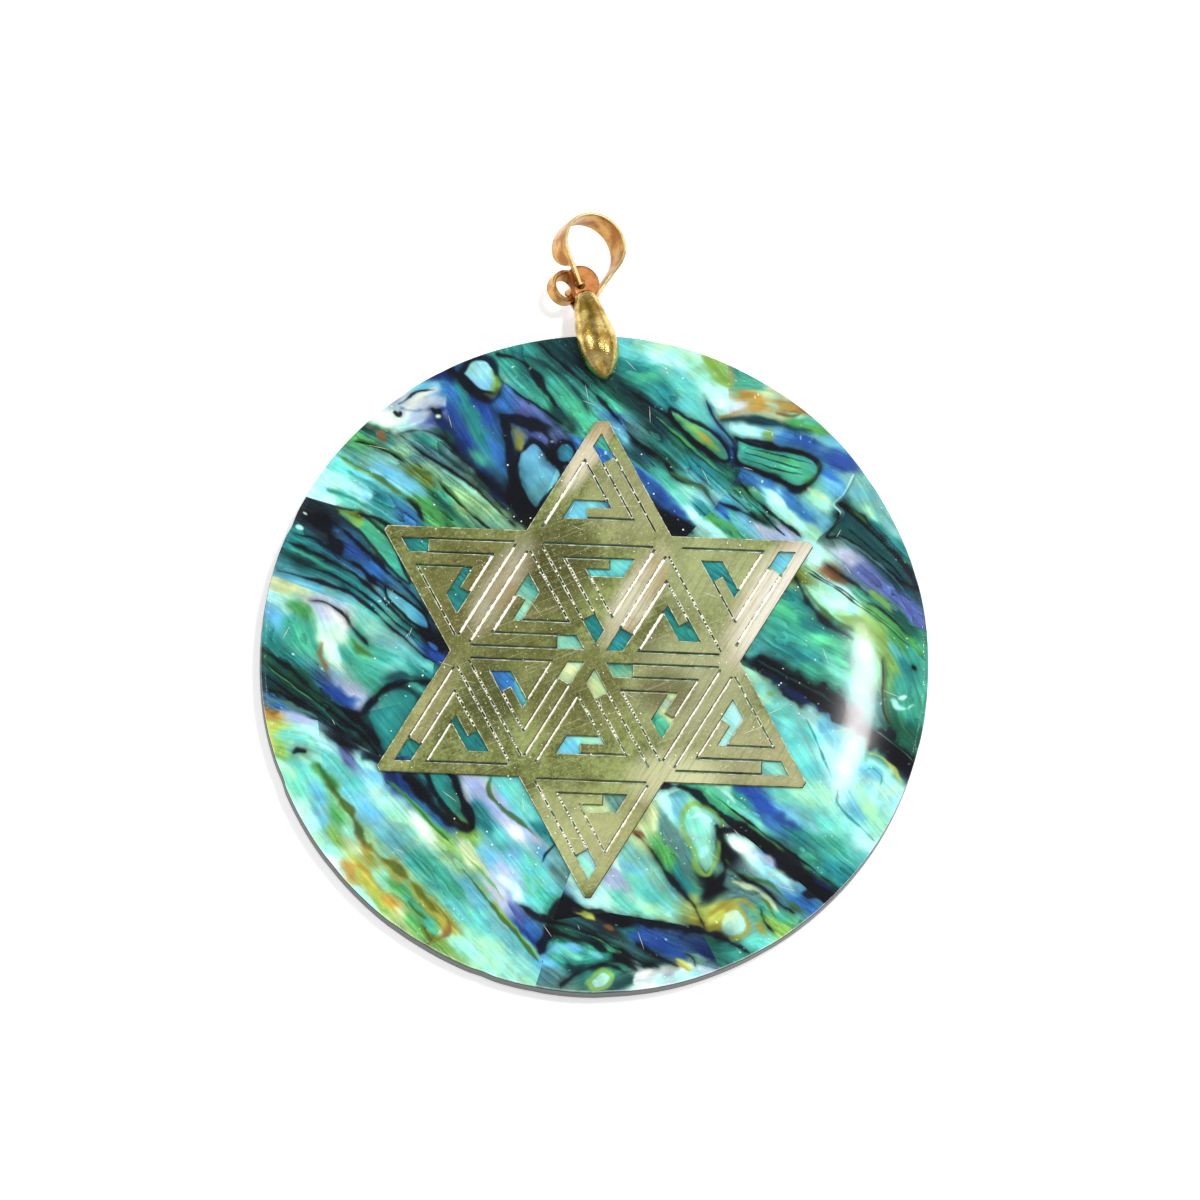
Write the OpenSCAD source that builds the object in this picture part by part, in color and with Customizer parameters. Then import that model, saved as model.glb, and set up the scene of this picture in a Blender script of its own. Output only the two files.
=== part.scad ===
// Round shell pendant: a mosaic of shell pieces on a dark backing, a pierced brass star over it,
// a clear domed cover, and a gold pinch bail whose two leaves clip through a hole by the rim.
// Millimetres. It lies face up, as it rests by itself: +Z up, +Y from the disc to the bail.

/* [Disc] */
// Diameter of the disc
disc_d = 50; // [48:0.5:54]
// Thickness of the dark backing
backing_t = 2.0; // [1.5:0.1:2.5]
// Thickness of the shell mosaic
shell_t = 0.4; // [0.3:0.05:0.6]
// Height of the clear cover at its rim, above the mosaic
cover_rim_t = 0.55; // [0.45:0.05:0.9]
// How far the cover rises from its rim to its middle
cover_dome = 0.8; // [0.5:0.1:1.2]
// Gap between neighbouring shell pieces
seam = 0.08; // [0.05:0.01:0.15]

/* [Star] */
// Distance from the star's middle to its sharp tips
star_r = 18.4; // [17.5:0.1:18.8]
// Thickness of the star plate
star_t = 0.18; // [0.12:0.02:0.25]
// How far the star's middle sits above the disc's middle
star_up = 0.47; // [0:0.01:1]
// Width of the metal strips that the pattern leaves
strip_w = 0.92; // [0.85:0.01:0.98]
// Width of the sawn slits
slit_w = 0.11; // [0.08:0.01:0.14]
// Metal left as a bridge at the corners of each pattern
bridge = 0.3; // [0.2:0.05:0.5]

/* [Bail] */
// Distance from the disc's middle to the hole for the pegs
hole_at = 22.65; // [22.3:0.05:22.8]
// Radius of that hole
hole_r = 0.85; // [0.7:0.05:1.0]
// Radius of the pegs
peg_r = 0.42; // [0.35:0.01:0.5]
// Outer radius of the ribbon loop's round part
loop_r = 2.6; // [2.5:0.02:2.7]
// Width of the ribbon
ribbon_w = 2.4; // [2.2:0.1:2.5]
// Thickness of the ribbon
ribbon_t = 0.32; // [0.28:0.02:0.36]
// Radius of the pin that closes the loop
pin_r = 0.24; // [0.2:0.01:0.26]
// Free play of the pin in the front eye
pin_play = 0.14; // [0.1:0.02:0.16]

/* [Hidden] */
$fn = 96;

disc_r = disc_d / 2;
layer_gap = 0.04;
shell_z = backing_t + layer_gap;
star_z = shell_z + shell_t + layer_gap;
rim_z = shell_z + shell_t + cover_rim_t;
top_z = rim_z + cover_dome;
shell_r = disc_r - 0.15;
edge_round = 0.25;

// Colours, as the object shows them
dark = [0.16, 0.18, 0.17];
clear = [0.8, 0.92, 0.95, 0.35];
brass = [0.62, 0.58, 0.36];
gold = [0.80, 0.56, 0.24];

// The disc lies on its lower rim and on the back leaf, so the bail end is raised a little
leaf_low = 1.01;
leaf_low_y = 23.9;
rest_tilt = atan(leaf_low / (disc_r + leaf_low_y));
middle_y = 4.72;

module laid() {
    translate([0, -middle_y, disc_r * sin(rest_tilt)]) rotate([rest_tilt, 0, 0]) children();
}

// Corners of the shell pieces, on the disc, and beyond its rim where a seam runs out
corner = [
    [-12.5, 27.3], [9.1, 28.6], [9.5, 17.6], [10.5, 15.1], [8.6, 12.2],
    [2.5, 15.2], [-2.3, 17.4], [-7.6, 21.3], [-20.5, 21.9], [-15.0, 17.0],
    [-11.0, 16.0], [-5.0, 10.0], [-27.0, 13.2], [-19.7, 11.2], [-15.5, 10.0],
    [-8.0, 8.0], [-29.2, 6.5], [-24.0, 5.6], [-18.0, 3.6], [-12.0, -0.5],
    [-9.0, 0.0], [-30.0, 0.7], [-24.5, 0.2], [-21.0, -3.2], [-17.5, -4.6],
    [-12.2, -3.0], [-29.5, -5.6], [-24.4, -4.6], [-20.5, -5.2], [-15.5, -8.0],
    [-7.0, -6.0], [-20.0, -9.0], [-17.3, -12.5], [-14.5, -15.0], [-10.3, -19.8],
    [-14.6, -26.2], [-26.0, -15.0], [-9.0, -13.8], [-3.2, -22.9], [-5.0, -29.6],
    [-2.6, -19.7], [-1.0, -15.0], [1.0, -12.0], [-2.0, -6.0], [1.5, -18.9],
    [8.4, -19.8], [12.5, -27.3], [6.8, -9.3], [12.2, -13.2], [21.6, -20.8],
    [4.0, -6.0], [8.0, 1.0], [11.0, 0.3], [16.0, -2.2], [21.0, -5.0],
    [28.3, -9.5], [10.0, 4.0], [15.5, 8.2], [20.0, 5.0], [29.9, 1.8],
    [16.4, 10.2], [18.1, 11.8], [17.8, 13.2], [23.4, 18.7], [3.0, 6.0]
];

// Each shell piece: its corners in turn, and its main colour
piece_top = [0, 1, 2, 3, 4, 5, 6, 7];
piece_eyes = [8, 0, 7, 6, 11, 10, 9];
piece_stripes = [12, 8, 9, 10, 11, 15, 14, 13];
piece_blue_left = [16, 12, 13, 14, 15, 20, 19, 18, 17];
piece_swirl = [21, 16, 17, 18, 19, 25, 24, 23, 22];
piece_dark_left = [26, 21, 22, 23, 24, 25, 19, 20, 30, 29, 28, 27];
piece_yellow_rim = [35, 36, 26, 27, 28, 31, 32, 33, 34];
piece_long = [39, 35, 34, 33, 32, 31, 28, 29, 37, 38];
piece_lilac = [38, 37, 29, 30, 43, 42, 41, 40];
piece_bottom = [39, 38, 40, 44, 45, 46];
piece_lower_right = [46, 45, 44, 40, 41, 42, 47, 48, 49];
piece_turquoise = [49, 48, 47, 50, 51, 52, 53, 54, 55];
piece_teal = [55, 54, 53, 52, 51, 56, 57, 58, 59];
piece_violet = [59, 58, 57, 60, 61, 62, 63];
piece_upper_right = [63, 62, 61, 60, 57, 56, 64, 4, 3, 2, 1];
piece_middle = [6, 5, 4, 64, 56, 51, 50, 47, 42, 43, 30, 20, 15, 11];

function unit(v) = v / norm(v);
function left_of(v) = [-v[1], v[0]];
function turned(v, a) = [v[0] * cos(a) - v[1] * sin(a), v[0] * sin(a) + v[1] * cos(a)];
function about(c, r, a) = c + r * [cos(a), sin(a)];

// A clockwise outline drawn in by d: each corner moves along the bisector of its two edges
function drawn_in(p, d) = [
    for (i = [0 : len(p) - 1])
        let (a = p[(i + len(p) - 1) % len(p)], b = p[i], c = p[(i + 1) % len(p)],
             n1 = -left_of(unit(b - a)), n2 = -left_of(unit(c - b)))
        b + d * (n1 + n2) / (1 + n1 * n2)
];

module peg_hole() {
    translate([0, hole_at, -1]) cylinder(r = hole_r, h = top_z + 2);
}

module shell_piece(path, tint) {
    color(tint) laid() difference() {
        intersection() {
            translate([0, 0, shell_z]) cylinder(r = shell_r, h = shell_t, $fn = 180);
            translate([0, 0, shell_z - 0.5]) linear_extrude(shell_t + 1)
                polygon(drawn_in([for (i = path) corner[i]], seam / 2));
        }
        peg_hole();
    }
}

// Dark backing: a plain disc with a rounded edge at the back
module backing() {
    color(dark) laid() difference() {
        union() {
            translate([0, 0, edge_round]) cylinder(r = disc_r, h = backing_t - edge_round, $fn = 180);
            cylinder(r = disc_r - edge_round, h = backing_t, $fn = 180);
            translate([0, 0, edge_round]) rotate_extrude($fn = 180)
                translate([disc_r - edge_round, 0]) circle(edge_round, $fn = 32);
        }
        peg_hole();
    }
}

// Clear cover: nearly flat in the middle and falling away towards the rim
dome_steps = 12;
function dome_z(r) = top_z - cover_dome * pow(r / disc_r, 4);
cover_profile = concat(
    [[0, star_z], [disc_r, star_z]],
    [for (i = [dome_steps : -1 : 0]) let (r = disc_r * sqrt(i / dome_steps)) [r, dome_z(r)]]
);

module clear_cover() {
    pocket_gap = 0.12;
    color(clear) laid() difference() {
        rotate_extrude($fn = 180) polygon(cover_profile);
        translate([0, star_up, star_z - 1]) linear_extrude(star_t + layer_gap + 1)
            star_outline(pocket_gap);
        peg_hole();
    }
}

// Star plate: twelve small triangles, six pointing out and six pointing in, each with the same
// spiral fret. The fret's own triangle has the inner radius fret_r.
cell_side = star_r / sqrt(3);
pitch = strip_w + slit_w;
fret_r = 2.5;
outer_fret_at = 11.97;
inner_fret_at = 5.97;
rim_over = 0.18;
tip_cut_r = 18.35;
top_tip_cut_r = 17.95;

module star_outline(over) {
    r = star_r + 2 * (rim_over + over);
    intersection() {
        union() {
            rotate(90) circle(r, $fn = 3);
            rotate(-90) circle(r, $fn = 3);
        }
        circle(tip_cut_r + over, $fn = 96);
    }
}

// A point of the fret by its distances from two of the fret triangle's three middle lines
right_n = [cos(30), sin(30)];
left_n = [-cos(30), sin(30)];
base_n = [0, -1];
function cross_at(n1, d1, n2, d2) =
    let (det = n1[0] * n2[1] - n1[1] * n2[0])
    [(d1 * n2[1] - d2 * n1[1]) / det, (n1[0] * d2 - n2[0] * d1) / det];

// Lines of the fret, as distances from its middle towards a side
line_1 = fret_r;
line_2 = fret_r - pitch;
line_3 = fret_r - 2 * pitch;
window_left = fret_r - 0.92;
window_top = fret_r - 2.37;
arm_low = fret_r - 1.82;
tongue_end = -0.92;
tip_window_end = 2.32;

module slit(a, b) {
    d = unit(b - a) * slit_w / 2;
    n = left_of(d);
    polygon([a - d - n, b + d - n, b + d + n, a - d + n]);
}

module fret(base_slit) {
    along_right = [0.5, -sin(60)];
    tip_end_1 = line_1 * right_n - tip_window_end * along_right;
    tip_end_2 = line_2 * right_n - tip_window_end * along_right;
    tip_top = cross_at(right_n, line_1, left_n, line_1);
    tip_left = cross_at(right_n, line_2, left_n, line_1);
    low_right = cross_at(right_n, line_1, base_n, line_1);
    low_left = cross_at(left_n, line_1, base_n, line_1);
    inner_corner = cross_at(right_n, line_2, base_n, line_2);
    arm_corner = cross_at(right_n, line_3, base_n, window_top);
    apex = cross_at(right_n, line_3, left_n, line_1);
    // Window at the tip, and the slit that leaves it along the right side
    polygon([tip_top, tip_end_1, tip_end_2, tip_left]);
    slit(tip_end_1, low_right + bridge * unit(tip_top - low_right));
    // Second slit, its turn along the base, and the hooked window
    slit(tip_end_2, inner_corner);
    slit(inner_corner, [tongue_end, -line_2]);
    polygon([
        cross_at(left_n, window_left, base_n, line_2 + slit_w / 2),
        [tongue_end, -line_2 - slit_w / 2],
        [tongue_end, -arm_low],
        cross_at(right_n, line_3, base_n, arm_low),
        arm_corner,
        cross_at(left_n, window_left, base_n, window_top)
    ]);
    // Third slit, which meets the one along the left side in a point
    slit(arm_corner, apex);
    slit(apex, low_left + bridge * unit(apex - low_left));
    if (base_slit)
        slit(low_left + bridge * [1, 0], low_right - bridge * [1, 0]);
}

// Which of the six frets has its slit along the base, going round from the first on the right
outer_base = [false, false, true, true, true, true];
inner_base = [true, true, true, true, false, true];

module star_plate() {
    color(brass) laid() translate([0, star_up, star_z]) linear_extrude(star_t) difference() {
        star_outline(0);
        translate([-2, top_tip_cut_r]) square([4, 2]);
        for (i = [0 : 5]) rotate(30 + 60 * i) {
            translate([outer_fret_at, 0]) rotate(-90) fret(outer_base[i]);
            translate([inner_fret_at, 0]) rotate(90) fret(inner_base[i]);
        }
    }
}

// Bail. Its pin leans to the left and towards the disc; on_pin() has X and Y across the pin
// and Z along it, towards the viewer.
pin_at = [-2.12, 28.68, 2.75];
pin_lean = 24.5;
pin_turn = 23;

module on_pin() {
    translate(pin_at) rotate([0, pin_lean, pin_turn]) rotate([0, 0, -pin_turn]) children();
}

// Turns +Z from point a towards point b
module from_to(a, b) {
    v = b - a;
    translate(a) rotate([0, acos(v[2] / norm(v)), atan2(v[1], v[0])]) children();
}

// Half width of a leaf along its length, from the neck to the tip
leaf_station = [0, 0.15, 0.6, 1.2, 1.8, 2.5, 3.2, 3.8, 4.4, 5.0, 5.6, 6.15, 6.6, 6.9, 7.05];
leaf_half_w = [0.3, 0.55, 0.75, 0.93, 1.07, 1.25, 1.4, 1.48, 1.5, 1.43, 1.22, 0.93, 0.6, 0.32, 0.1];

module seed(from) {
    last = len(leaf_station) - 1;
    rotate_extrude() polygon(concat(
        [[0, leaf_station[from]]],
        [for (i = [from : last]) [leaf_half_w[i], leaf_station[i]]],
        [[0, leaf_station[last]]]
    ));
}

front_neck = [-1.72, 28.2, 3.0];
front_tip = [0.2, 21.4, 3.5];
back_neck = [-1.5, 28.0, 0.75];
back_tip = [0.4, 21.6, 0.35];
eye_t = 0.6;
front_eye_r = 1.4;
front_eye_at = [0.35, 0.22, 0];
front_eye_flat = 0.54;
back_eye_r = 1.27;
back_eye_t = 1.15;
back_eye_at = [-0.6, 0.09, -1.06];
back_eye_near_r = 1.0;
back_eye_far_r = 0.87;
leaf_clear = 0.06;
peg_gap = 0.12;

// Room for the disc that the leaves clip round, a little larger than the disc itself
module disc_room() {
    translate([0, 0, -leaf_clear]) intersection() {
        cylinder(r = disc_r + leaf_clear, h = 20, center = true, $fn = 180);
        union() {
            cylinder(r = disc_r + 1, h = rim_z + 2 * leaf_clear, $fn = 180);
            rotate_extrude($fn = 180) polygon(concat(
                [[0, 0], [disc_r, 0]],
                [for (i = [dome_steps : -1 : 0]) let (r = disc_r * sqrt(i / dome_steps))
                    [r, dome_z(r) + 2 * leaf_clear]]
            ));
        }
    }
}

module front_leaf() {
    inner_z = 2.3;
    middle = (backing_t + rim_z) / 2;
    color(gold) laid() {
        difference() {
            union() {
                intersection() {
                    from_to(front_neck, front_tip) seed(0);
                    translate([-10, 15, inner_z]) cube([20, 20, 5]);
                }
                on_pin() translate(front_eye_at) {
                    cylinder(r = front_eye_r - eye_t / 2, h = eye_t, center = true);
                    rotate_extrude() translate([front_eye_r - eye_t / 2, 0]) circle(eye_t / 2, $fn = 32);
                }
            }
            disc_room();
            on_pin() {
                cylinder(r = pin_r + pin_play, h = 6, center = true);
                rotate(196) translate([front_eye_flat, -3, -0.7]) cube([3, 6, 1.4]);
            }
        }
        translate([0, hole_at, middle - 0.3]) cylinder(r = peg_r, h = dome_z(hole_at) + 0.6 - middle + 0.3);
    }
}

module back_leaf() {
    outer_z = 1.25;
    middle = (backing_t + rim_z) / 2 - 0.3 - peg_gap;
    color(gold) laid() {
        difference() {
            union() {
                intersection() {
                    from_to(back_neck, back_tip) seed(0);
                    translate([-10, 15, outer_z - 5]) cube([20, 12.2, 5]);
                }
                from_to([-2.35, 27.7, 1.8], [-1.2, 26.4, 0.5]) cylinder(r = 0.42, h = 2.1);
            }
            disc_room();
            on_pin() translate(back_eye_at) cylinder(r = back_eye_r - 0.1, h = back_eye_t, center = true);
        }
        on_pin() translate(back_eye_at) rotate_extrude() polygon([
            [back_eye_far_r, -back_eye_t / 2], [back_eye_r, -back_eye_t / 2],
            [back_eye_r, back_eye_t / 2], [back_eye_near_r, back_eye_t / 2]
        ]);
        translate([0, hole_at, -0.6]) cylinder(r = peg_r, h = middle + 0.6);
    }
}

// Ribbon loop: a round part, two straight straps to their ends, and a pin through both eyes
loop_at = [1.12, 3.2];
left_end = [-0.32, -0.28];
right_end = [1.7, -0.8];
loop_near = 0.85;
front_back = 0.42;
tail_z = -2.15;
tail_t = 0.4;

function touch_angle(p, side) =
    let (v = p - loop_at) atan2(v[1], v[0]) + side * acos(loop_r / norm(v));
left_angle = touch_angle(left_end, -1);
right_angle = touch_angle(right_end, 1);

// The outline of the loop at radius r, filled; past_end lengthens its two straps
module loop_body(r, past_end) {
    left = [cos(left_angle), sin(left_angle)];
    right = [cos(right_angle), sin(right_angle)];
    translate(loop_at) circle(r, $fn = 180);
    polygon([
        loop_at, loop_at + r * left,
        left_end + (r - loop_r) * left + past_end * [-left[1], left[0]],
        right_end + (r - loop_r) * right + past_end * [right[1], -right[0]],
        loop_at + r * right
    ]);
}

module loop_outline() {
    difference() {
        loop_body(loop_r, 0);
        loop_body(loop_r - ribbon_t, 0.5);
    }
}

// A prism along X of an outline given as heights up the loop and depths along the pin
module side_cut(x, width, outline) {
    translate([x, 0, 0]) rotate([90, 0, 90]) linear_extrude(width) polygon(outline);
}

module bail_loop() {
    far = loop_near - ribbon_w;
    tail = [right_end[0] - 0.15, right_end[1] + 0.1];
    color(gold) laid() on_pin() {
        difference() {
            translate([0, 0, far]) linear_extrude(ribbon_w) loop_outline();
            side_cut(-3, 3.9, [[-2, far - 1], [-2, front_back], [1.35, front_back], [1.5, -0.35],
                               [1.8, -0.9], [2.0, far], [2.0, far - 1]]);
            side_cut(0.9, 5, [[-2, 2], [-2, -0.5], [0.6, -0.5], [1.5, -0.1], [2.4, 0.55],
                              [3.1, loop_near], [3.1, 2]]);
            side_cut(0.9, 5, [[-2, far - 1], [-2, -1.2], [-0.2, -1.2], [0.8, far], [0.8, far - 1]]);
        }
        translate([0, 0, tail_z]) cylinder(r = pin_r, h = loop_near - tail_z - 0.1);
        translate([0, 0, tail_z]) cylinder(r = 0.32, h = tail_t);
        translate([tail[0], tail[1], tail_z]) cylinder(r = 0.2, h = -0.6 - tail_z);
        translate([0, 0, tail_z]) rotate(atan2(tail[1], tail[0]))
            translate([0, -0.2, 0]) cube([norm(tail), 0.4, tail_t]);
    }
}

module shell_top() shell_piece(piece_top, [0.15, 0.45, 0.45]);
module shell_eyes() shell_piece(piece_eyes, [0.12, 0.30, 0.60]);
module shell_stripes() shell_piece(piece_stripes, [0.25, 0.50, 0.42]);
module shell_blue_left() shell_piece(piece_blue_left, [0.12, 0.40, 0.50]);
module shell_swirl() shell_piece(piece_swirl, [0.25, 0.62, 0.62]);
module shell_dark_left() shell_piece(piece_dark_left, [0.08, 0.28, 0.32]);
module shell_yellow_rim() shell_piece(piece_yellow_rim, [0.60, 0.78, 0.60]);
module shell_long() shell_piece(piece_long, [0.42, 0.78, 0.70]);
module shell_lilac() shell_piece(piece_lilac, [0.62, 0.70, 0.82]);
module shell_bottom() shell_piece(piece_bottom, [0.12, 0.35, 0.42]);
module shell_lower_right() shell_piece(piece_lower_right, [0.50, 0.72, 0.70]);
module shell_turquoise() shell_piece(piece_turquoise, [0.35, 0.75, 0.78]);
module shell_teal() shell_piece(piece_teal, [0.22, 0.62, 0.58]);
module shell_violet() shell_piece(piece_violet, [0.35, 0.45, 0.60]);
module shell_upper_right() shell_piece(piece_upper_right, [0.25, 0.62, 0.62]);
module shell_middle() shell_piece(piece_middle, [0.22, 0.55, 0.55]);

backing();
shell_top();
shell_eyes();
shell_stripes();
shell_blue_left();
shell_swirl();
shell_dark_left();
shell_yellow_rim();
shell_long();
shell_lilac();
shell_bottom();
shell_lower_right();
shell_turquoise();
shell_teal();
shell_violet();
shell_upper_right();
shell_middle();
star_plate();
clear_cover();
front_leaf();
back_leaf();
bail_loop();
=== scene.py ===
"""Mandala pendant: a shell mosaic under a clear domed cover, with a pierced brass star and a pinch bail.
Sizes are in millimetres on the disc, whose back is at height 0 and whose bail is towards +Y. laid() leans it
as it rests and gives metres."""

import math

import bmesh
import bpy
import numpy as np
from bpy.props import FloatProperty, FloatVectorProperty, PointerProperty
from bpy.types import Operator, Panel, PropertyGroup
from mathutils import Matrix


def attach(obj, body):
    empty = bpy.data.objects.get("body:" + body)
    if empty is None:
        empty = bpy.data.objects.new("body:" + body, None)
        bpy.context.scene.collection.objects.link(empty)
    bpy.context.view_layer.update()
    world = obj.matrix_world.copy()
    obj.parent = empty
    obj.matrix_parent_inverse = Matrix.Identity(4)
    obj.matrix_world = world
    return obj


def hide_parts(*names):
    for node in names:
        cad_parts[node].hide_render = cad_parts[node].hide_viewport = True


bl_info = {
    "name": "Mandala pendant",
    "version": (1, 0, 0),
    "blender": (4, 5, 0),
    "location": "3D View > Sidebar > Pendant",
    "description": "Builds a shell mosaic pendant with a brass star and a pinch bail",
    "category": "Object",
}

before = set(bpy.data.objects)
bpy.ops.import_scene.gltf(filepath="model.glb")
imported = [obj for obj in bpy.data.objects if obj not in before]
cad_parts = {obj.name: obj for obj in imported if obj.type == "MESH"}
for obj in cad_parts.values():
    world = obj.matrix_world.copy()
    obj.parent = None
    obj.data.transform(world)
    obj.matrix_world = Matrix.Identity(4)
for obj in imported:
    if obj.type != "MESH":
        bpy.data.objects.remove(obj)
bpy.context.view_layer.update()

# Sizes that more than one piece uses, and the millimetres in a metre

MM = 1000.0
DISC_R = 25.0
SHELL_LOW, SHELL_TOP = 2.04, 2.44
STAR_LOW, STAR_TOP = 2.48, 2.66
RIM_Z, TOP_Z = 2.99, 3.79
HOLE_AT, HOLE_R = 22.65, 0.85
PEG_R, EYE_BORE = 0.42, 0.38
# At rest the disc stands on its lowest edge and on the back leaf, 1.01 mm high and 23.9 mm beyond the middle
REST_TILT = math.atan(1.01 / (DISC_R + 23.9))
MIDDLE_Y = 4.72
STAR_UP = 0.47


def dome_z(r):
    """Height of the cover's face at radius r: TOP_Z - (TOP_Z - RIM_Z) (r / DISC_R)^4."""
    return TOP_Z - (TOP_Z - RIM_Z) * (r / DISC_R) ** 4


def laid(p):
    """Points on the disc leaned by the tilt t about X and moved to the frame, in metres:
    (x, y cos t - z sin t - MIDDLE_Y, y sin t + z cos t + DISC_R sin t) / MM."""
    p = np.asarray(p, float)
    c, s = math.cos(REST_TILT), math.sin(REST_TILT)
    out = np.stack([p[..., 0], p[..., 1] * c - p[..., 2] * s - MIDDLE_Y,
                    p[..., 1] * s + p[..., 2] * c + DISC_R * s], -1)
    return out / MM


def on_disc(p):
    """Undoes laid."""
    start = laid(np.zeros(3))
    turn = np.stack([laid(e) - start for e in np.eye(3)]) * MM
    return (np.asarray(p, float) - start) @ turn.T * MM


def unit(v):
    """A direction with its length brought to 1."""
    v = np.asarray(v, float)
    return v / np.linalg.norm(v)


# Meshes from arrays


def grid_faces(rows, cols, wrap=False):
    """Quads of a grid of rows by cols points: point (i, j) is number i cols + j, and if wrap is set the last
    point of each row joins its first."""
    i, j = np.meshgrid(np.arange(rows - 1), np.arange(cols if wrap else cols - 1), indexing="ij")
    k = (j + 1) % cols
    return np.stack([i * cols + j, i * cols + k, (i + 1) * cols + k, (i + 1) * cols + j], -1).reshape(-1, 4)


# A direction that no bar follows, from which the sides of its section are taken
SWEEP_SIDE = (0.35, 0.2, 0.9)


class Shape:
    """Collects arrays of points and faces, and makes one piece of them."""

    def __init__(self):
        self.points, self.faces, self.count, self.sizes = [], [], 0, []

    def add(self, points, faces):
        """Adds points and the faces between them."""
        points = np.asarray(points, float).reshape(-1, 3)
        self.points.append(points)
        self.faces.extend((np.asarray(f) + self.count).tolist() for f in faces)
        self.count += len(points)
        self.sizes.append(len(faces))
        return self

    def tube(self, rings):
        """A closed skin through rings of points, (rings, around, 3), with a flat cap on each end."""
        rows, cols = rings.shape[:2]
        faces = list(grid_faces(rows, cols, True))
        faces += [np.arange(cols)[::-1], np.arange(cols) + (rows - 1) * cols]
        return self.add(rings, faces)

    def ring(self, rings):
        """A closed skin through rings of points that come back to the first ring."""
        rows, cols = rings.shape[:2]
        return self.add(rings, list(grid_faces(rows + 1, cols, True) % (rows * cols)))

    def piece(self, name, body, slot, nodes=(), smooth_angle=35.0):
        """Lays the points, none below the floor, and makes them one piece."""
        mesh = bpy.data.meshes.new(name)
        points = laid(np.concatenate(self.points))
        points[:, 2] = np.maximum(points[:, 2], 0)
        mesh.from_pydata(points.tolist(), [], self.faces)
        mesh.validate()
        bm = bmesh.new()
        bm.from_mesh(mesh)
        bmesh.ops.recalc_face_normals(bm, faces=bm.faces)
        bm.to_mesh(mesh)
        bm.free()
        return finished(mesh, name, body, nodes, smooth_angle)


def in_scene(name, data):
    """A new object of some data, put in the scene."""
    obj = bpy.data.objects.new(name, data)
    bpy.context.scene.collection.objects.link(obj)
    return obj


def finished(mesh, name, body, nodes=(), smooth_angle=35.0):
    """Makes a mesh a piece that rides on a body and stands for CAD nodes. Edges above the smooth angle, in
    degrees, are sharp, and none is at 180."""
    if not mesh.polygons:
        raise RuntimeError(name + " has no faces")
    mesh.shade_smooth()
    obj = in_scene(name, mesh)
    if smooth_angle < 180:
        mesh.set_sharp_from_angle(angle=math.radians(smooth_angle))
    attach(obj, body)
    if nodes:
        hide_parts(*nodes)
    return obj


def circle(around):
    """Angles of a full turn in equal steps."""
    return np.linspace(0, 2 * math.pi, around, endpoint=False)


def lathe(profile, around, at=(0, 0, 0)):
    """Rings of a surface of revolution: (r, h) of the profile at angle a is at + (r cos a, r sin a, h)."""
    profile = np.asarray(profile, float)
    x, y, z = np.eye(3)
    a = circle(around)[None, :, None]
    return np.asarray(at) + profile[:, None, :1] * (np.cos(a) * x + np.sin(a) * y) + profile[:, None, 1:] * z


def smooth_path(points, steps):
    """A curve through points, with steps samples between two of them. Between b and c, after a and before d,
    it is (2b + (c - a) t + (2a - 5b + 4c - d) t^2 + (3b - a - 3c + d) t^3) / 2 for t from 0 to 1."""
    p = np.asarray(points, float)
    p = np.concatenate([2 * p[:1] - p[1:2], p, 2 * p[-1:] - p[-2:-1]])
    t = np.linspace(0, 1, steps, endpoint=False)[None, :, None]
    a, b, c, d = (p[k:len(p) - 3 + k, None, :] for k in range(4))
    q = 0.5 * (2 * b + (c - a) * t + (2 * a - 5 * b + 4 * c - d) * t**2 + (3 * b - a - 3 * c + d) * t**3)
    return np.concatenate([q.reshape(-1, p.shape[1]), p[-2:-1]])


def sweep(path, radius, around=20):
    """Rings of a round bar along a path p: p + r (cos a side + sin a other), both square to the path."""
    path = np.asarray(path, float)
    tangent = np.gradient(path, axis=0)
    tangent /= np.linalg.norm(tangent, axis=1)[:, None]
    side = np.cross(tangent, SWEEP_SIDE)
    side /= np.linalg.norm(side, axis=1)[:, None]
    other = np.cross(tangent, side)
    a = circle(around)[None, :, None]
    r = np.broadcast_to(np.asarray(radius, float), (len(path),))[:, None, None]
    return path[:, None] + r * (np.cos(a) * side[:, None] + np.sin(a) * other[:, None])


def rounded_ends(rings, depth, steps=5):
    """Closes the ends of a bar with a quarter round: at angle k from 0 to 90 degrees the end ring shrinks to
    cos k of its size and moves out by depth sin k."""
    start, end = rings[0].mean(0), rings[-1].mean(0)
    out0, out1 = unit(start - rings[1].mean(0)), unit(end - rings[-2].mean(0))
    k = np.linspace(0, math.pi / 2, steps + 1)[1:, None, None]
    a = start + (rings[0][None] - start) * np.cos(k) + out0 * depth * np.sin(k)
    b = end + (rings[-1][None] - end) * np.cos(k) + out1 * depth * np.sin(k)
    return np.concatenate([a[::-1], rings, b])


# Noise for shapes and for painting


def value_noise(x, y, seed):
    """Smooth noise from -1 to 1: a hashed value at each whole (i, j), blended inside the cell by
    u^2 (3 - 2u) and v^2 (3 - 2v)."""
    i, j = np.floor(x).astype(np.int64), np.floor(y).astype(np.int64)
    u, v = x - i, y - j
    u, v = u * u * (3 - 2 * u), v * v * (3 - 2 * v)

    def at(a, b):
        """Hashed value at a whole point."""
        h = (a * 374761393 + b * 668265263 + seed * 974634777) & 0xFFFFFFFF
        h = ((h ^ (h >> 13)) * 1274126177) & 0xFFFFFFFF
        return ((h ^ (h >> 16)) & 0xFFFF) / 32767.5 - 1

    low = at(i, j) * (1 - u) + at(i + 1, j) * u
    high = at(i, j + 1) * (1 - u) + at(i + 1, j + 1) * u
    return low * (1 - v) + high * v


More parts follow.
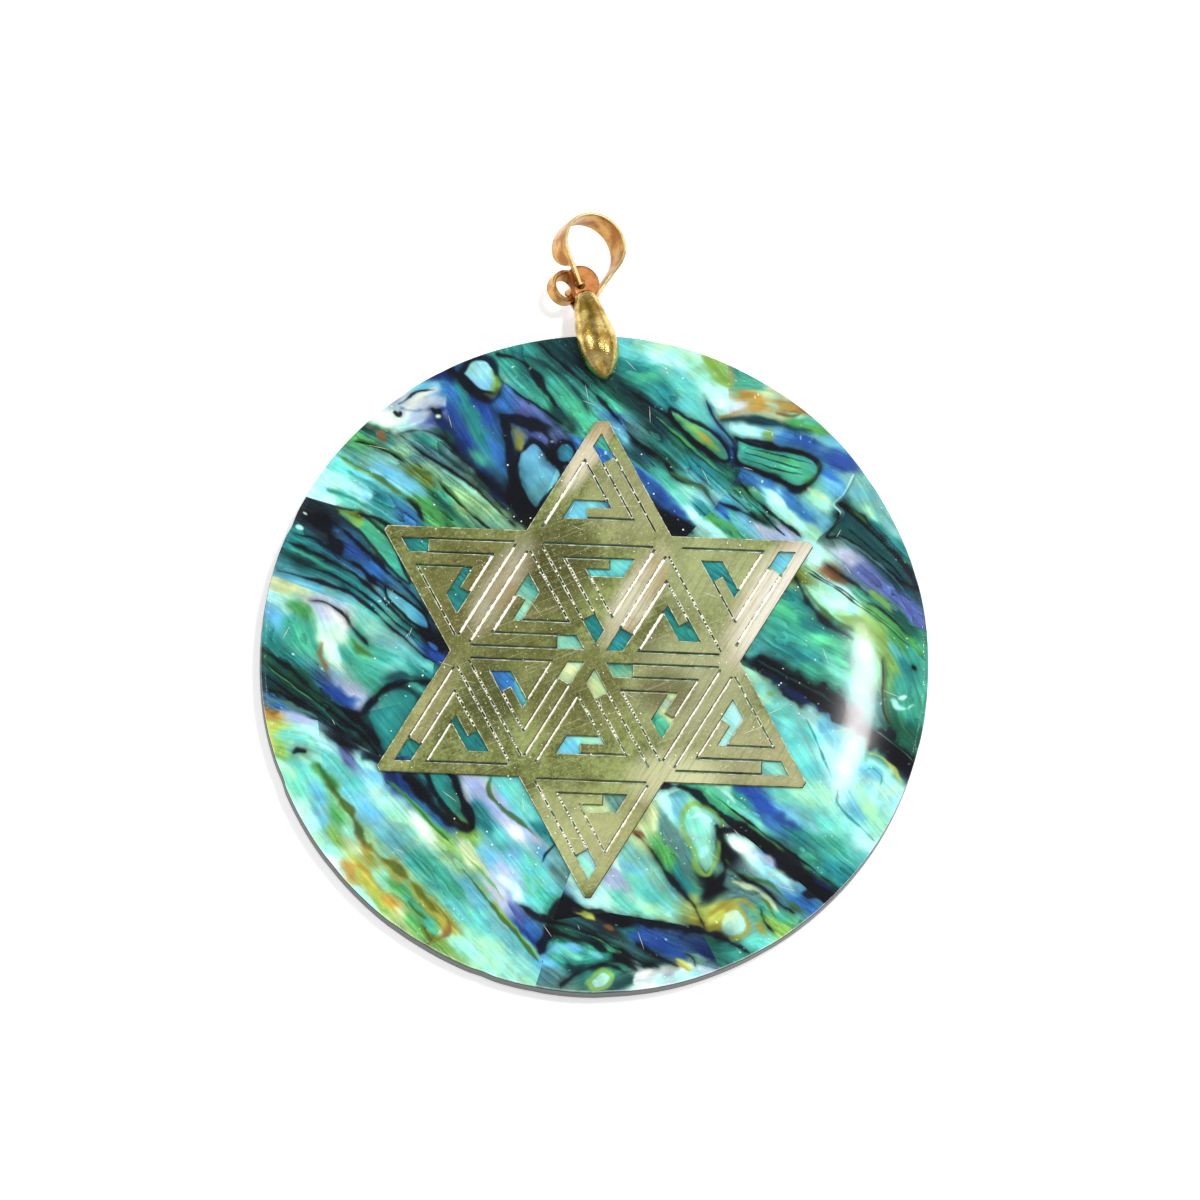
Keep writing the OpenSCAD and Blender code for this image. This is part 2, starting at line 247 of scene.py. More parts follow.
def layered_noise(x, y, seed, layers=3):
    """Noise with finer layers added: the sum of noise(2^k x, 2^k y) / 2^k, brought back to about 1."""
    total, size = 0.0, 1.0
    for k in range(layers):
        total = total + value_noise(x * 2**k, y * 2**k, seed + 17 * k) * size
        size *= 0.5
    return total / 1.75


# Shader maths


class Val:
    """A shader socket or number that can be used in Python expressions."""

    def __init__(self, tree, socket):
        self.tree, self.socket = tree, socket

    def _math(self, operation, other, swapped=False):
        """A maths node's result, its two values swapped if asked."""
        node = self.tree.nodes.new("ShaderNodeMath")
        node.operation = operation
        pair = [self.socket, getattr(other, "socket", other)]
        for k, value in enumerate(reversed(pair) if swapped else pair):
            if isinstance(value, bpy.types.NodeSocket):
                self.tree.links.new(value, node.inputs[k])
            else:
                node.inputs[k].default_value = value
        return Val(self.tree, node.outputs[0])

    def __add__(self, o):
        return self._math("ADD", o)

    def __sub__(self, o):
        return self._math("SUBTRACT", o)

    def __mul__(self, o):
        return self._math("MULTIPLY", o)

    def __truediv__(self, o):
        return self._math("DIVIDE", o)

    def __rsub__(self, o):
        return self._math("SUBTRACT", o, True)

    def over(self, low, high):
        """0 below low and 1 above high, with a smooth step between them."""
        node = self.tree.nodes.new("ShaderNodeMapRange")
        node.interpolation_type = "SMOOTHSTEP"
        self.tree.links.new(self.socket, node.inputs["Value"])
        node.inputs["From Min"].default_value = low
        node.inputs["From Max"].default_value = high
        return Val(self.tree, node.outputs["Result"])


class Finish:
    """A material being made: its node tree and a way to add any node."""

    def __init__(self, name):
        self.material = bpy.data.materials.new(name)
        self.material.use_nodes = True
        self.tree = self.material.node_tree
        self.tree.nodes.clear()

    def node(self, kind, settings=None, **sockets):
        """Adds a node with some settings, and with values or links for its sockets."""
        node = self.tree.nodes.new("ShaderNode" + kind)
        for key, value in (settings or {}).items():
            setattr(node, key, value)
        for key, value in sockets.items():
            socket = next(s for s in node.inputs if s.enabled and s.name.replace(" ", "_") == key)
            value = getattr(value, "socket", value)
            if isinstance(value, bpy.types.NodeSocket):
                self.tree.links.new(value, socket)
            else:
                socket.default_value = value
        return node

    def val(self, socket):
        """A socket as a value for expressions."""
        return Val(self.tree, socket)

    def place(self, turn=0.0, stretch=(1, 1, 1)):
        """Millimetres on the piece, 0 at the disc's middle, turned by some degrees and then stretched."""
        coord = self.node("TexCoord").outputs["Object"]
        mm = self.node("Mapping", Vector=coord, Location=(0, MIDDLE_Y, 0), Scale=(MM, MM, MM)).outputs[0]
        turned = self.node("Mapping", Vector=mm, Rotation=(0, 0, math.radians(-turn))).outputs[0]
        return self.node("Mapping", Vector=turned, Scale=stretch).outputs[0]

    def noise(self, vector, scale, detail=3.0, rough=0.5):
        """Noise from 0 to 1 with scale waves in a millimetre."""
        return self.val(self.node("TexNoise", Vector=vector, Scale=scale, Detail=detail,
                                  Roughness=rough).outputs["Fac"])

    def mix(self, factor, a, b):
        """Two colours mixed by a factor: a at 0 and b at 1."""
        node = self.node("Mix", {"data_type": "RGBA", "clamp_factor": True}, Factor=factor, A=a, B=b)
        return next(s for s in node.outputs if s.enabled)

    def bump(self, height, strength, distance):
        """A normal bent by a height, whose full range is distance millimetres deep."""
        return self.node("Bump", Height=height, Strength=strength, Distance=distance / MM).outputs[0]

    def surface(self, shader):
        """Ends the material with a shader."""
        out = self.node("OutputMaterial")
        self.tree.links.new(shader, out.inputs["Surface"])
        return self.material

    def principled(self, **sockets):
        """Ends the material with the usual shader, its sockets given by name."""
        return self.surface(self.node("BsdfPrincipled", **sockets).outputs[0])


def linear(c):
    """Linear light of a screen colour c from 0 to 1: c / 12.92 up to 0.04045 and ((c + 0.055) / 1.055)^2.4
    above it."""
    return np.where(c <= 0.04045, c / 12.92, ((c + 0.055) / 1.055) ** 2.4)


def srgb(r, g, b):
    """A colour given as it looks on screen, 0 to 255, as linear light."""
    return tuple(linear(np.array([r, g, b]) / 255.0))


def tint(colour):
    """A colour with full alpha, as a node's socket takes it."""
    return (*colour[:3], 1.0)


def shade(r, g, b):
    """A colour given as it looks on screen, ready for a node's socket."""
    return tint(srgb(r, g, b))


# Settings a user would change


class PendantSizes(PropertyGroup):
    """Sizes that a user may change."""

    shell_pitch: FloatProperty(
        name="Mosaic detail", description="Distance between the painted points of the shell",
        default=0.076 / MM, min=0.05 / MM, max=0.5 / MM, precision=6,
        unit="LENGTH")
    ribbon_width: FloatProperty(
        name="Ribbon width", description="Width of the bail's ribbon",
        default=2.4 / MM, min=2.0 / MM, max=2.5 / MM, precision=6, unit="LENGTH")


def in_mm(length):
    """A length setting in millimetres, without the noise of its short storage."""
    return round(length * MM, 6)


def colour_property(name, description, default):
    """A colour that a user may change."""
    return FloatVectorProperty(name=name, description=description, subtype="COLOR", size=3, min=0, max=1,
                               default=srgb(*default))


class PendantColours(PropertyGroup):
    """Colours that a user may change."""

    backing: colour_property("Backing", "Colour of the dark backing", (52, 58, 56))
    brass: colour_property("Star brass", "Colour of the star plate", (170, 182, 110))
    gold: colour_property("Leaf gold", "Colour of the bail's front leaf", (236, 208, 132))
    copper: colour_property("Ribbon gold", "Colour of the bail's ribbon and back leaf", (206, 160, 92))


# Finishes


def backing_finish(colours):
    """Dark pressed backing: two near blacks in fine grain."""
    f = Finish("dark_backing")
    grain = f.noise(f.place(), 6.0, 4.0)
    colour = f.mix(grain.over(0.3, 0.75), tint(colours.backing), shade(50, 57, 55))
    return f.principled(Base_Color=colour, Roughness=grain * 0.2 + 0.3, Normal=f.bump(grain, 0.2, 0.02))


def shell_finish():
    """Shell under resin: the colour painted on each point, with hardly any shine."""
    f = Finish("abalone_shell")
    paint = f.node("Attribute", {"attribute_name": "paint"}).outputs["Color"]
    return f.principled(Base_Color=paint, Roughness=0.4, Specular_IOR_Level=0.06)


def soft_spot(x, y, at, turn, reach):
    """1 in the middle of an ellipse and 0 at its edge: a smooth step of 1 - u^2 - v^2, with u and v along
    its axes in parts of its reach."""
    c, s = math.cos(math.radians(turn)), math.sin(math.radians(turn))
    u = ((x - at[0]) * c + (y - at[1]) * s) / reach[0]
    v = ((y - at[1]) * c - (x - at[0]) * s) / reach[1]
    return (1 - (u * u + v * v)).over(0, 1)


# Light and shade on the star: middle, turn in degrees and reach in millimetres, strength, colour on screen
STAR_SHADES = (
    ((-8.5, 4.5), 20, (8.5, 7), 0.7, (108, 100, 48)),
    ((-1.5, -2.5), 0, (6, 5), 0.55, (106, 102, 52)),
    ((7.5, -1.5), 0, (6, 6), 0.8, (190, 192, 146)),
    ((2.5, 12.5), 0, (5, 5), 0.6, (186, 186, 136)),
    ((13.4, -6.8), 0, (7, 4), 0.6, (208, 202, 158)),
    ((8.4, 7.2), 0, (5.6, 4.6), 0.6, (196, 204, 148)),
    ((6.3, -8.8), 0, (4.6, 3.0), 0.95, (228, 230, 180)),
    ((-1.5, -13.3), 0, (5.5, 4.6), 0.65, (210, 214, 152)),
    ((-2.9, 7.2), 0, (4.0, 4.6), 0.85, (80, 80, 34)),
    ((-7.8, -2.6), 0, (3.2, 4.0), 0.8, (76, 78, 32)),
    ((5.4, -2.0), 0, (2.8, 2.4), 0.75, (92, 88, 44)),
    ((3.0, -12.6), 62, (7, 3), 0.35, (196, 188, 138)),
    ((-12.6, -4.4), 62, (6, 1.8), 0.4, (206, 194, 142)),
)
# Peach sheens, painted reflections on the star's strips, in the same way without a colour
PEACH_SHEENS = (
    ((12.9, 5.4), 61, (7.5, 2.6), 1.0),
    ((2.9, 5.0), 62, (5.6, 1.9), 0.75),
    ((-7.2, 5.4), 60, (5.2, 1.9), 0.45),
    ((-1.1, 15.7), 60, (4.4, 1.2), 0.95),
)


def brass_finish(colours):
    """Brushed brass: olive gold with clouds and scratches, painted light and shade, and painted peach sheens
    where strips catch the light.
    """
    f = Finish("brushed_brass")
    at = f.place()
    xyz = f.node("SeparateXYZ", Vector=at)
    x, y = f.val(xyz.outputs[0]), f.val(xyz.outputs[1])
    streak = f.noise(f.place(61, (0.12, 2.6, 1)), 2.2, 5.0, 0.65)
    scratch = f.noise(f.place(24, (0.1, 6, 1)), 1.7, 3.0, 0.7)
    grain = f.noise(at, 3.2, 4.0, 0.7)
    cloud = f.noise(at, 0.3, 5.0, 0.62)
    mottle = (cloud * 0.6 + grain * 0.4).over(0.38, 0.64)
    colour = f.mix(mottle, shade(98, 102, 46), tint(colours.brass))
    for *spot, strength, tone in STAR_SHADES:
        colour = f.mix(soft_spot(x, y, *spot) * strength, colour, shade(*tone))
    sheens = [soft_spot(x, y, *spot) * strength for *spot, strength in PEACH_SHEENS]
    peach = sum(sheens[1:], sheens[0])
    sheen = f.mix(f.noise(at, 0.3, 2.0).over(0.3, 0.62), shade(236, 204, 160), shade(255, 244, 222))
    colour = f.mix(peach * (streak * 0.5 + 0.6), colour, sheen)
    # A pale cream spot at the star's right tip: painted highlight
    colour = f.mix(soft_spot(x, y, (14.1, 5.6), 61, (7.4, 2.5)) * 0.95, colour, shade(255, 249, 232))
    colour = f.mix(scratch.over(0.55, 0.7) * 0.4, colour, shade(222, 216, 176))
    colour = f.mix(streak.over(0.5, 0.36) * 0.25, colour, shade(78, 76, 38))
    # Small pale specks: painted glints on the brass
    colour = f.mix(f.noise(at, 7.0, 2.0, 0.6).over(0.6, 0.7) * 0.5, colour, shade(232, 228, 188))
    return f.principled(Base_Color=colour, Metallic=0.5, Roughness=streak * 0.3 + 0.3,
                        Specular_IOR_Level=0.1, Normal=f.bump(streak + scratch * 0.5, 0.35, 0.03))


def edge_highlight_finish():
    """Painted highlight on the plate's edges that face the light: near white in patches and olive between.
    """
    f = Finish("sawn_brass_edge")
    painted_highlight = f.noise(f.place(), 1.6, 3.0, 0.6)
    colour = f.mix(painted_highlight.over(0.4, 0.6), shade(176, 176, 120), shade(248, 246, 220))
    return f.principled(Base_Color=colour, Metallic=0.3, Roughness=painted_highlight * 0.2 + 0.25)


def edge_shade_finish():
    """Painted shade on the plate's edges that face away from the light: dark olive in patches."""
    f = Finish("dark_brass_edge")
    shade_variation = f.noise(f.place(), 1.2, 3.0, 0.6)
    colour = f.mix(shade_variation.over(0.35, 0.65), shade(52, 48, 22), shade(104, 100, 56))
    return f.principled(Base_Color=colour, Roughness=0.5)


def air_glow_finish():
    """Trapped air, which mirrors the light and looks near white with a warm cast. Its faint warm emission is
    a painted glow.
    """
    f = Finish("trapped_air")
    warm = f.noise(f.place(), 0.3, 2.0)
    colour = f.mix(warm.over(0.4, 0.65), shade(255, 252, 246), shade(255, 240, 220))
    return f.principled(Base_Color=colour, Roughness=0.25, Emission_Color=(1.0, 0.93, 0.84, 1),
                        Emission_Strength=0.22)


def gold_finish(name, light, dark, rough, pitting):
    """Worn plated gold: two golds in clouds, with dark pits."""
    f = Finish(name)
    cloud = f.noise(f.place(), 0.8, 4.0, 0.55)
    pits = f.noise(f.place(), 3.6, 4.0, 0.65)
    colour = f.mix(cloud.over(0.38, 0.64), tint(light), tint(dark))
    colour = f.mix(pits.over(0.57, 0.7) * pitting, colour, shade(96, 76, 36))
    return f.principled(Base_Color=colour, Metallic=1.0, Roughness=cloud * 0.2 + rough,
                        Normal=f.bump(pits + cloud * 3.0 * pitting, 0.25 + 0.5 * pitting, 0.06))


def clear_finish():
    """Clear resin: what lies below shows through, and the outer face mirrors the lights by Fresnel."""
    f = Finish("clear_resin")
    facing = f.node("Fresnel", IOR=1.3).outputs[0]
    front = 1 - f.val(f.node("NewGeometry").outputs["Backfacing"])
    see = f.node("BsdfTransparent", Color=(0.985, 0.995, 0.992, 1)).outputs[0]
    gloss = f.node("BsdfAnisotropic", {"distribution": "GGX"}, Color=(1, 1, 1, 1), Roughness=0.08).outputs[0]
    mixed = f.node("MixShader", Fac=f.val(facing) * front)
    f.tree.links.new(see, mixed.inputs[1])
    f.tree.links.new(gloss, mixed.inputs[2])
    return f.surface(mixed.outputs[0])


# The mosaic

# Tenths in a millimetre: the painting's places are in tenths
TENTHS = 10.0

# Corners of the shell's seams
CORNER = np.array([
    (-125, 273), (91, 286), (95, 176), (105, 151), (86, 122), (25, 152), (-23, 174),
    (-76, 213), (-205, 219), (-150, 170), (-110, 160), (-50, 100), (-270, 132), (-197, 112),
    (-155, 100), (-80, 80), (-292, 65), (-240, 56), (-180, 36), (-120, -5), (-90, 0),
    (-300, 7), (-245, 2), (-210, -32), (-175, -46), (-122, -30), (-295, -56), (-244, -46),
    (-205, -52), (-155, -80), (-70, -60), (-200, -90), (-173, -125), (-145, -150), (-103, -198),
    (-146, -262), (-260, -150), (-90, -138), (-32, -229), (-50, -296), (-26, -197), (-10, -150),
    (10, -120), (-20, -60), (15, -189), (84, -198), (125, -273), (68, -93), (122, -132),
    (216, -208), (40, -60), (80, 10), (110, 3), (160, -22), (210, -50), (283, -95),
    (100, 40), (155, 82), (200, 50), (299, 18), (164, 102), (181, 118), (178, 132),
    (234, 187), (30, 60),
]) / TENTHS

# Each piece of shell, as the corners around it
SHELL_PIECES = {
    "shell_top": (0, 1, 2, 3, 4, 5, 6, 7),
    "shell_eyes": (8, 0, 7, 6, 11, 10, 9),
    "shell_stripes": (12, 8, 9, 10, 11, 15, 14, 13),
    "shell_blue_left": (16, 12, 13, 14, 15, 20, 19, 18, 17),
    "shell_swirl": (21, 16, 17, 18, 19, 25, 24, 23, 22),
    "shell_dark_left": (26, 21, 22, 23, 24, 25, 19, 20, 30, 29, 28, 27),
    "shell_yellow_rim": (35, 36, 26, 27, 28, 31, 32, 33, 34),
    "shell_long": (39, 35, 34, 33, 32, 31, 28, 29, 37, 38),
    "shell_lilac": (38, 37, 29, 30, 43, 42, 41, 40),
    "shell_bottom": (39, 38, 40, 44, 45, 46),
    "shell_lower_right": (46, 45, 44, 40, 41, 42, 47, 48, 49),
    "shell_turquoise": (49, 48, 47, 50, 51, 52, 53, 54, 55),
    "shell_teal": (55, 54, 53, 52, 51, 56, 57, 58, 59),
    "shell_violet": (59, 58, 57, 60, 61, 62, 63),
    "shell_upper_right": (63, 62, 61, 60, 57, 56, 64, 4, 3, 2, 1),
    "shell_middle": (6, 5, 4, 64, 56, 51, 50, 47, 42, 43, 30, 20, 15, 11),
}
# The shell's outer edge, and half the gap between two pieces
SHELL_R = DISC_R - 0.03
SEAM = 0.03


def outline_distance(x, y, ring):
    """Signed distance to a closed outline, negative inside, and the closest point on it: the least distance
    to a side. From inside, a line to the right crosses an odd number of sides."""
    best = np.full(x.shape, 1e9)
    near = np.zeros((*x.shape, 2))
    inside = np.zeros(x.shape, bool)
    for a, b in zip(ring, np.roll(ring, -1, 0)):
        d = b - a
        t = np.clip(((x - a[0]) * d[0] + (y - a[1]) * d[1]) / (d @ d), 0, 1)
        qx, qy = a[0] + t * d[0], a[1] + t * d[1]
        dist = np.hypot(x - qx, y - qy)
        closer = dist < best
        best = np.where(closer, dist, best)
        near[closer] = np.stack([qx, qy], -1)[closer]
        if a[1] != b[1]:
            inside ^= ((a[1] > y) != (b[1] > y)) & (x < a[0] + (y - a[1]) * d[0] / d[1])
    return np.where(inside, -best, best), near


def shell_field(x, y, ring):
    """The same for a shell piece: the greatest of the distances to its outline moved in by the seam, to the
    disc's edge and to the peg hole."""
    dist, near = outline_distance(x, y, ring)
    r = np.maximum(np.hypot(x, y), 1e-9)
    edge = np.stack([x, y], -1) * (SHELL_R / r)[..., None]
    hx, hy = x, y - HOLE_AT
    hr = np.maximum(np.hypot(hx, hy), 1e-9)
    bore = np.stack([hx * HOLE_R / hr, hy * HOLE_R / hr + HOLE_AT], -1)
    total, to = dist + SEAM, near
    for d, q in ((r - SHELL_R, edge), (HOLE_R - hr, bore)):
        use = d > total
        total = np.where(use, d, total)
        to = np.where(use[..., None], q, to)
    return total, to


# The shell's painting

# Pigments, as they look on screen
PIGMENT = {
    "ink": (12, 16, 30), "coal": (38, 44, 54), "deep": (28, 66, 74), "bottle": (36, 92, 80),
    "moss": (70, 100, 50), "teal": (44, 126, 132), "sea": (72, 160, 144), "aqua": (108, 196, 194),
    "mint": (164, 216, 194), "ice": (188, 228, 234), "pearl": (236, 240, 234), "sky": (112, 178, 218),
    "blue": (58, 110, 184), "royal": (42, 72, 156), "navy": (22, 38, 92), "violet": (100, 100, 170),
    "lilac": (188, 174, 216), "rose": (228, 202, 220), "haze": (122, 174, 178), "slate": (92, 122, 126),
    "leaf": (88, 158, 90), "lime": (146, 174, 82), "sun": (212, 196, 84), "olive": (108, 108, 40),
    "ochre": (182, 150, 60), "amber": (212, 142, 62), "rust": (140, 82, 52), "sand": (214, 198, 152),
    "sage": (140, 168, 128), "jade": (84, 186, 152),
}

# Pigments that shade the shell beside them
DARK = ("ink", "coal", "deep", "navy", "bottle")

# Where each pigment lies
WASHES = {
    "ink": ((-54, 114), (-170, 169), (-206, 98), (-122, 12), (-130, -101), (-20, -192), (-8, -190),
        (24, -196), (26, -226), (126, 4), (154, -14), (182, -29), (226, -61), (49, 112), (63, 108),
        (168, -162), (126, -130), (99, -138), (94, -168)),
    "coal": ((-202, 90), (-184, -68), (-216, 104), (17, -202)),
    "deep": ((-30, 239), (-10, 225), (-5, 241), (25, 203), (-215, 71), (-218, -33), (-237, -29), (-215, -43),
        (-176, -56), (4, -207), (47, -226), (-9, -232), (34, -239), (118, 190), (181, 118), (206, 96),
        (229, 74), (196, 106), (104, 140), (42, 184), (28, 166)),
    "bottle": ((5, 207), (95, 153), (44, 160), (-240, -9), (-224, -19), (-202, -36), (-115, 115),
        (-116, 167), (122, 115), (240, -40), (226, -44), (94, -210), (-24, -204), (60, 172), (185, 109),
        (217, 89), (229, 40)),
    "sage": ((-119, 133), (-101, 115), (-78, 110), (-63, 103), (-96, 122), (-130, 142), (-146, 154),
        (-86, 134), (-96, -159), (-102, -148)),
    "jade": ((-162, 89), (-152, 74), (-92, 149), (-224, 16), (-176, 2), (142, 42), (166, 24), (184, 8),
        (32, 220), (6, 196), (-14, 188), (136, 162), (96, -104), (-36, -174), (80, -122), (12, -219)),
    "teal": ((25, 226), (44, 210), (-56, 220), (-98, 185), (-104, 202), (-93, 170), (-165, 117), (-203, 64),
        (-180, 51), (-135, 20), (-156, -56), (-137, -30), (74, 154), (74, 124), (160, 34), (150, 54),
        (208, 112), (224, 100), (106, -96), (154, -124), (188, -154), (-83, -113), (-78, -126), (-112, -102),
        (-37, -128), (8, -222), (33, -205), (108, -212), (104, 229), (229, 10), (154, 12), (176, 33),
        (-124, -14), (-236, 0), (-229, 86), (-136, 84), (-103, 51), (-90, -63), (66, 26), (85, 74), (0, 26),
        (208, -34), (69, -160), (-106, -94)),
    "sea": ((-35, 195), (-20, 184), (-46, 210), (-133, 165), (-169, 168), (-76, 226), (-226, 14), (-214, 10),
        (-186, 0), (-169, -15), (-162, 2), (-124, -154), (-114, -164), (-131, -188), (-116, -204),
        (-104, -176), (138, 34), (172, 14), (190, 9), (172, -130), (167, -145), (186, -134), (113, 218),
        (130, 159), (114, 164), (146, 154), (97, 106), (228, -10), (236, -28), (240, 16), (51, -44),
        (-19, -226), (22, -230), (117, 125), (-26, -186), (140, -185), (154, 191), (163, 3), (200, 59),
        (-114, 124), (54, 138)),
    "aqua": ((16, 240), (56, 221), (70, 194), (-192, 136), (-192, 116), (-150, 34), (-219, -104),
        (-221, -66), (-215, -90), (-192, -81), (-178, -96), (-92, -195), (-78, -198), (-42, -218),
        (-62, -98), (-48, -114), (-67, -136), (-46, -156), (-34, -164), (-40, -183), (134, -31), (154, -58),
        (163, -74), (144, -92), (118, -116), (177, -116), (199, -140), (204, -64), (47, -174), (26, -179),
        (35, -164), (180, 2), (112, 16), (224, 19), (102, 118), (58, 132), (-144, -9), (126, -206), (16, 74),
        (-54, -24), (-12, -220), (162, -44), (-170, 34), (-129, -2)),
    "mint": ((-219, -76), (-226, -89), (-153, -170), (-83, -216), (-65, -222), (-46, -233), (-96, -216),
        (-180, -134), (-190, -152), (132, -10), (172, -89), (158, -92), (126, -24), (208, -110), (67, 130),
        (138, 119), (158, 108), (170, 128), (204, 124), (83, 219), (-144, -120), (52, -186), (139, -74),
        (-5, -154), (-3, -58), (99, -92), (80, -130), (90, -116), (159, 62), (172, 44), (-74, -234),
        (-148, -162), (201, 20), (147, 195), (-28, 9)),
    "ice": ((46, 236), (70, 238), (88, 210), (-206, 130), (-212, 119), (-183, 126), (-239, 42), (-210, -60),
        (-196, -68), (-169, -81), (-155, -104), (-213, -120), (-168, -182), (163, -34), (179, -66),
        (186, -92), (217, -92), (226, -88), (208, -126), (54, -101), (146, -158), (10, -174), (110, 183),
        (130, 133), (149, 115), (72, 115), (86, 105), (170, 56), (184, 52), (160, 86), (159, 95), (185, 60),
        (-162, -188), (4, -184), (104, -33), (99, -54), (-148, 173)),
    "pearl": ((-194, 14), (-200, 2), (-55, -172), (110, -135), (120, -140), (-189, -160), (50, -238),
        (79, -231), (44, -243), (-162, 180), (-154, 175), (-128, -130), (96, 204), (19, -146)),
    "sky": ((-134, 204), (-151, 133), (-239, 29), (-214, 52), (-164, -90), (-165, -114), (-203, -108),
        (-200, -126), (-56, -147), (-74, -148), (-37, -144), (176, -42), (149, -108), (194, -104),
        (131, -145), (154, -165), (65, -104), (172, 174), (176, 142), (163, 119), (109, 115), (22, 150),
        (17, 175), (208, -76), (-32, -226), (-15, 115), (-19, -63), (138, 85), (30, -152), (132, 182),
        (-87, -181)),
    "blue": ((-79, 158), (-113, 204), (13, 186), (-146, 106), (-169, 62), (-192, 88), (-124, -114),
        (-112, -122), (-40, -203), (126, -101), (138, -116), (138, 180), (170, 154), (108, 146), (149, 126),
        (92, 122), (58, 119), (35, 138), (160, -174), (-67, -16), (0, 160), (90, 170), (-233, -40),
        (-72, 196)),
    "royal": ((-103, 166), (-88, 142), (-92, 192), (-114, 186), (-184, 79), (-191, -32), (-140, -95),
        (119, -96), (43, -207), (59, -213), (180, 162), (150, 175), (45, 129), (-118, 2), (-42, -209)),
    "navy": ((-79, 130), (-118, 217), (-147, -93), (89, -219)),
    "violet": ((-60, 187), (199, 76), (213, 67), (236, 46), (-124, 179), (-180, -77), (226, 57),
        (-51, -193)),
    "lilac": ((-126, 194), (-140, 178), (-152, 193), (-220, -51), (-88, -95), (-91, -104), (-74, -106),
        (-65, -117), (-42, -135), (125, 106), (140, 103), (22, -159), (16, -164), (65, -235), (-67, -178),
        (-182, -32), (-204, 33), (185, 88), (-62, -160)),
    "rose": ((-134, 199), (-146, 186), (-194, 27), (-56, -130), (99, 202), (49, -233), (82, -234)),
    "haze": ((-90, 229), (-165, 151), (-160, 46), (-192, 47), (-160, 12), (-140, 10), (-140, -134),
        (-165, -126), (-65, -207), (-153, -136), (163, -113), (31, -144), (188, 149), (196, 136), (210, 132),
        (218, 115), (47, -156), (-86, -170), (120, -200), (82, 135)),
    "slate": ((-112, 151), (-140, 149), (18, 184), (63, -135), (58, -126), (131, -172), (116, -168),
        (170, 103), (218, 56), (-19, -163), (83, -222), (-22, -239), (15, -106), (-132, 156)),
    "leaf": ((-126, 113), (-118, 104), (56, -142), (88, 112), (159, 186), (-179, 161), (-133, -202),
        (110, 133), (226, 28), (208, 47), (-186, -126), (-222, 34), (-142, -176)),
    "lime": ((78, 233), (90, 219), (206, 34), (214, 24), (218, 10), (-236, -74), (-190, -138), (-104, -144),
        (-152, -189), (190, 40), (146, -197), (-90, -132), (-109, -218)),
    "sun": ((-169, -164), (-156, -182), (94, -190), (-242, -58)),
    "olive": ((-133, 137), (-114, -212), (151, 70)),
    "ochre": ((-164, -154), (-103, -202), (-160, -172), (90, -196)),
    "amber": ((-180, -165), (-146, -189), (-243, -48), (108, 209), (114, 203), (142, 202)),
    "rust": ((174, 75), (148, 200)),
    "sand": ((-239, 51), (-175, -148), (-141, -196), (131, 206), (125, 214), (35, -124), (46, -116),
        (-86, -150), (-18, -6), (57, -33), (4, -105), (125, 197)),
}

# Place, direction of the growth lines in degrees, and how strongly they show
GRAIN = (
    (-9, 22, -50, .3), (-6, 21.5, -45, .6), (-3, 20, -48, .5), (-1, 22, -38, 1), (-14, 19, 30, .15),
    (-10, 18, -60, .25), (-8, 15, -55, .2), (-13, 15.5, -35, .9), (-17, 15.5, -28, .8), (-10, 12, -38, 1),
    (-19, 13, -30, .7), (-15, 12, -35, .9), (-18, 9.5, -32, .4), (-22, 9.5, -32, .7), (-20, 7.5, -28, 1),
    (-16, 5, -38, .8), (-22, 5.2, -15, .4), (-18, 4.2, -28, .5), (-13, 1, -42, .7), (-21, 2, -70, .25),
    (-18.5, 2, -60, .25), (-16, 0.5, -20, .35), (-22, -1.5, -38, 1), (-19, -4.5, -42, 1), (-15, -4, -50, .3),
    (-22, -6.5, -10, .3), (-21.5, -10, -60, .4), (-19, -12, -55, .4), (-17, -9, -48, .5),
    (-16, -16.5, -45, .3), (-13, -13, -46, .6), (-12, -18, -45, .6), (-9, -18, -47, .7), (-7, -22, -45, .5),
    (-11, -11, -48, .5), (-8, -11, -50, .4), (-5, -13, -48, .4), (-6, -17, -50, .4), (-4, -20, -48, .3),
    (-2, -22, -35, .4), (0, -20.5, -25, 1), (4, -21, -28, .7), (8, -21.5, -20, .5), (1, -23.5, 30, .4),
    (6, -23.7, 15, .2), (3, -16, -50, .3), (6, -14, -62, .5), (8.5, -13, -70, .2), (12, -14, -35, .4),
    (13, -17, -32, .6), (11, -19, 40, .2), (15, -19, -35, .5), (10, -10.5, -38, .6), (14, -11, -30, .5),
    (18, -14, -35, .5), (14, -3, -32, .35), (17, -6, -55, .3), (19.5, -9, -60, .3), (21.5, -7, -40, .3),
    (21, -11, -50, .3), (16, -1, -30, .4), (22, -5.5, -38, .6), (22.5, -2, -80, .3), (3, 23, -15, .4),
    (6, 22, -35, .4), (9, 23, -50, .3), (10, 20.5, 10, .2), (13, 20, -10, .3), (5, 20.5, -38, .5),
    (4, 17, -40, .9), (8, 18, -48, .4), (8, 14.5, -42, .9), (5, 13.5, -42, .4), (12, 18.3, -10, .4),
    (13, 16, -12, .9), (17, 16.5, -20, .3), (13, 13.5, -38, .4), (12, 12.2, -42, .9), (16, 12.5, -40, .3),
    (20, 13.5, -60, .3), (20, 10, -42, .8), (19, 8, -38, .4), (22, 6, -40, .6), (17, 5.5, -32, .3),
    (20, 3.5, -40, .5), (15, 3.5, -30, .4), (18, 2, -25, .4), (23.5, 1, -60, .3),
)

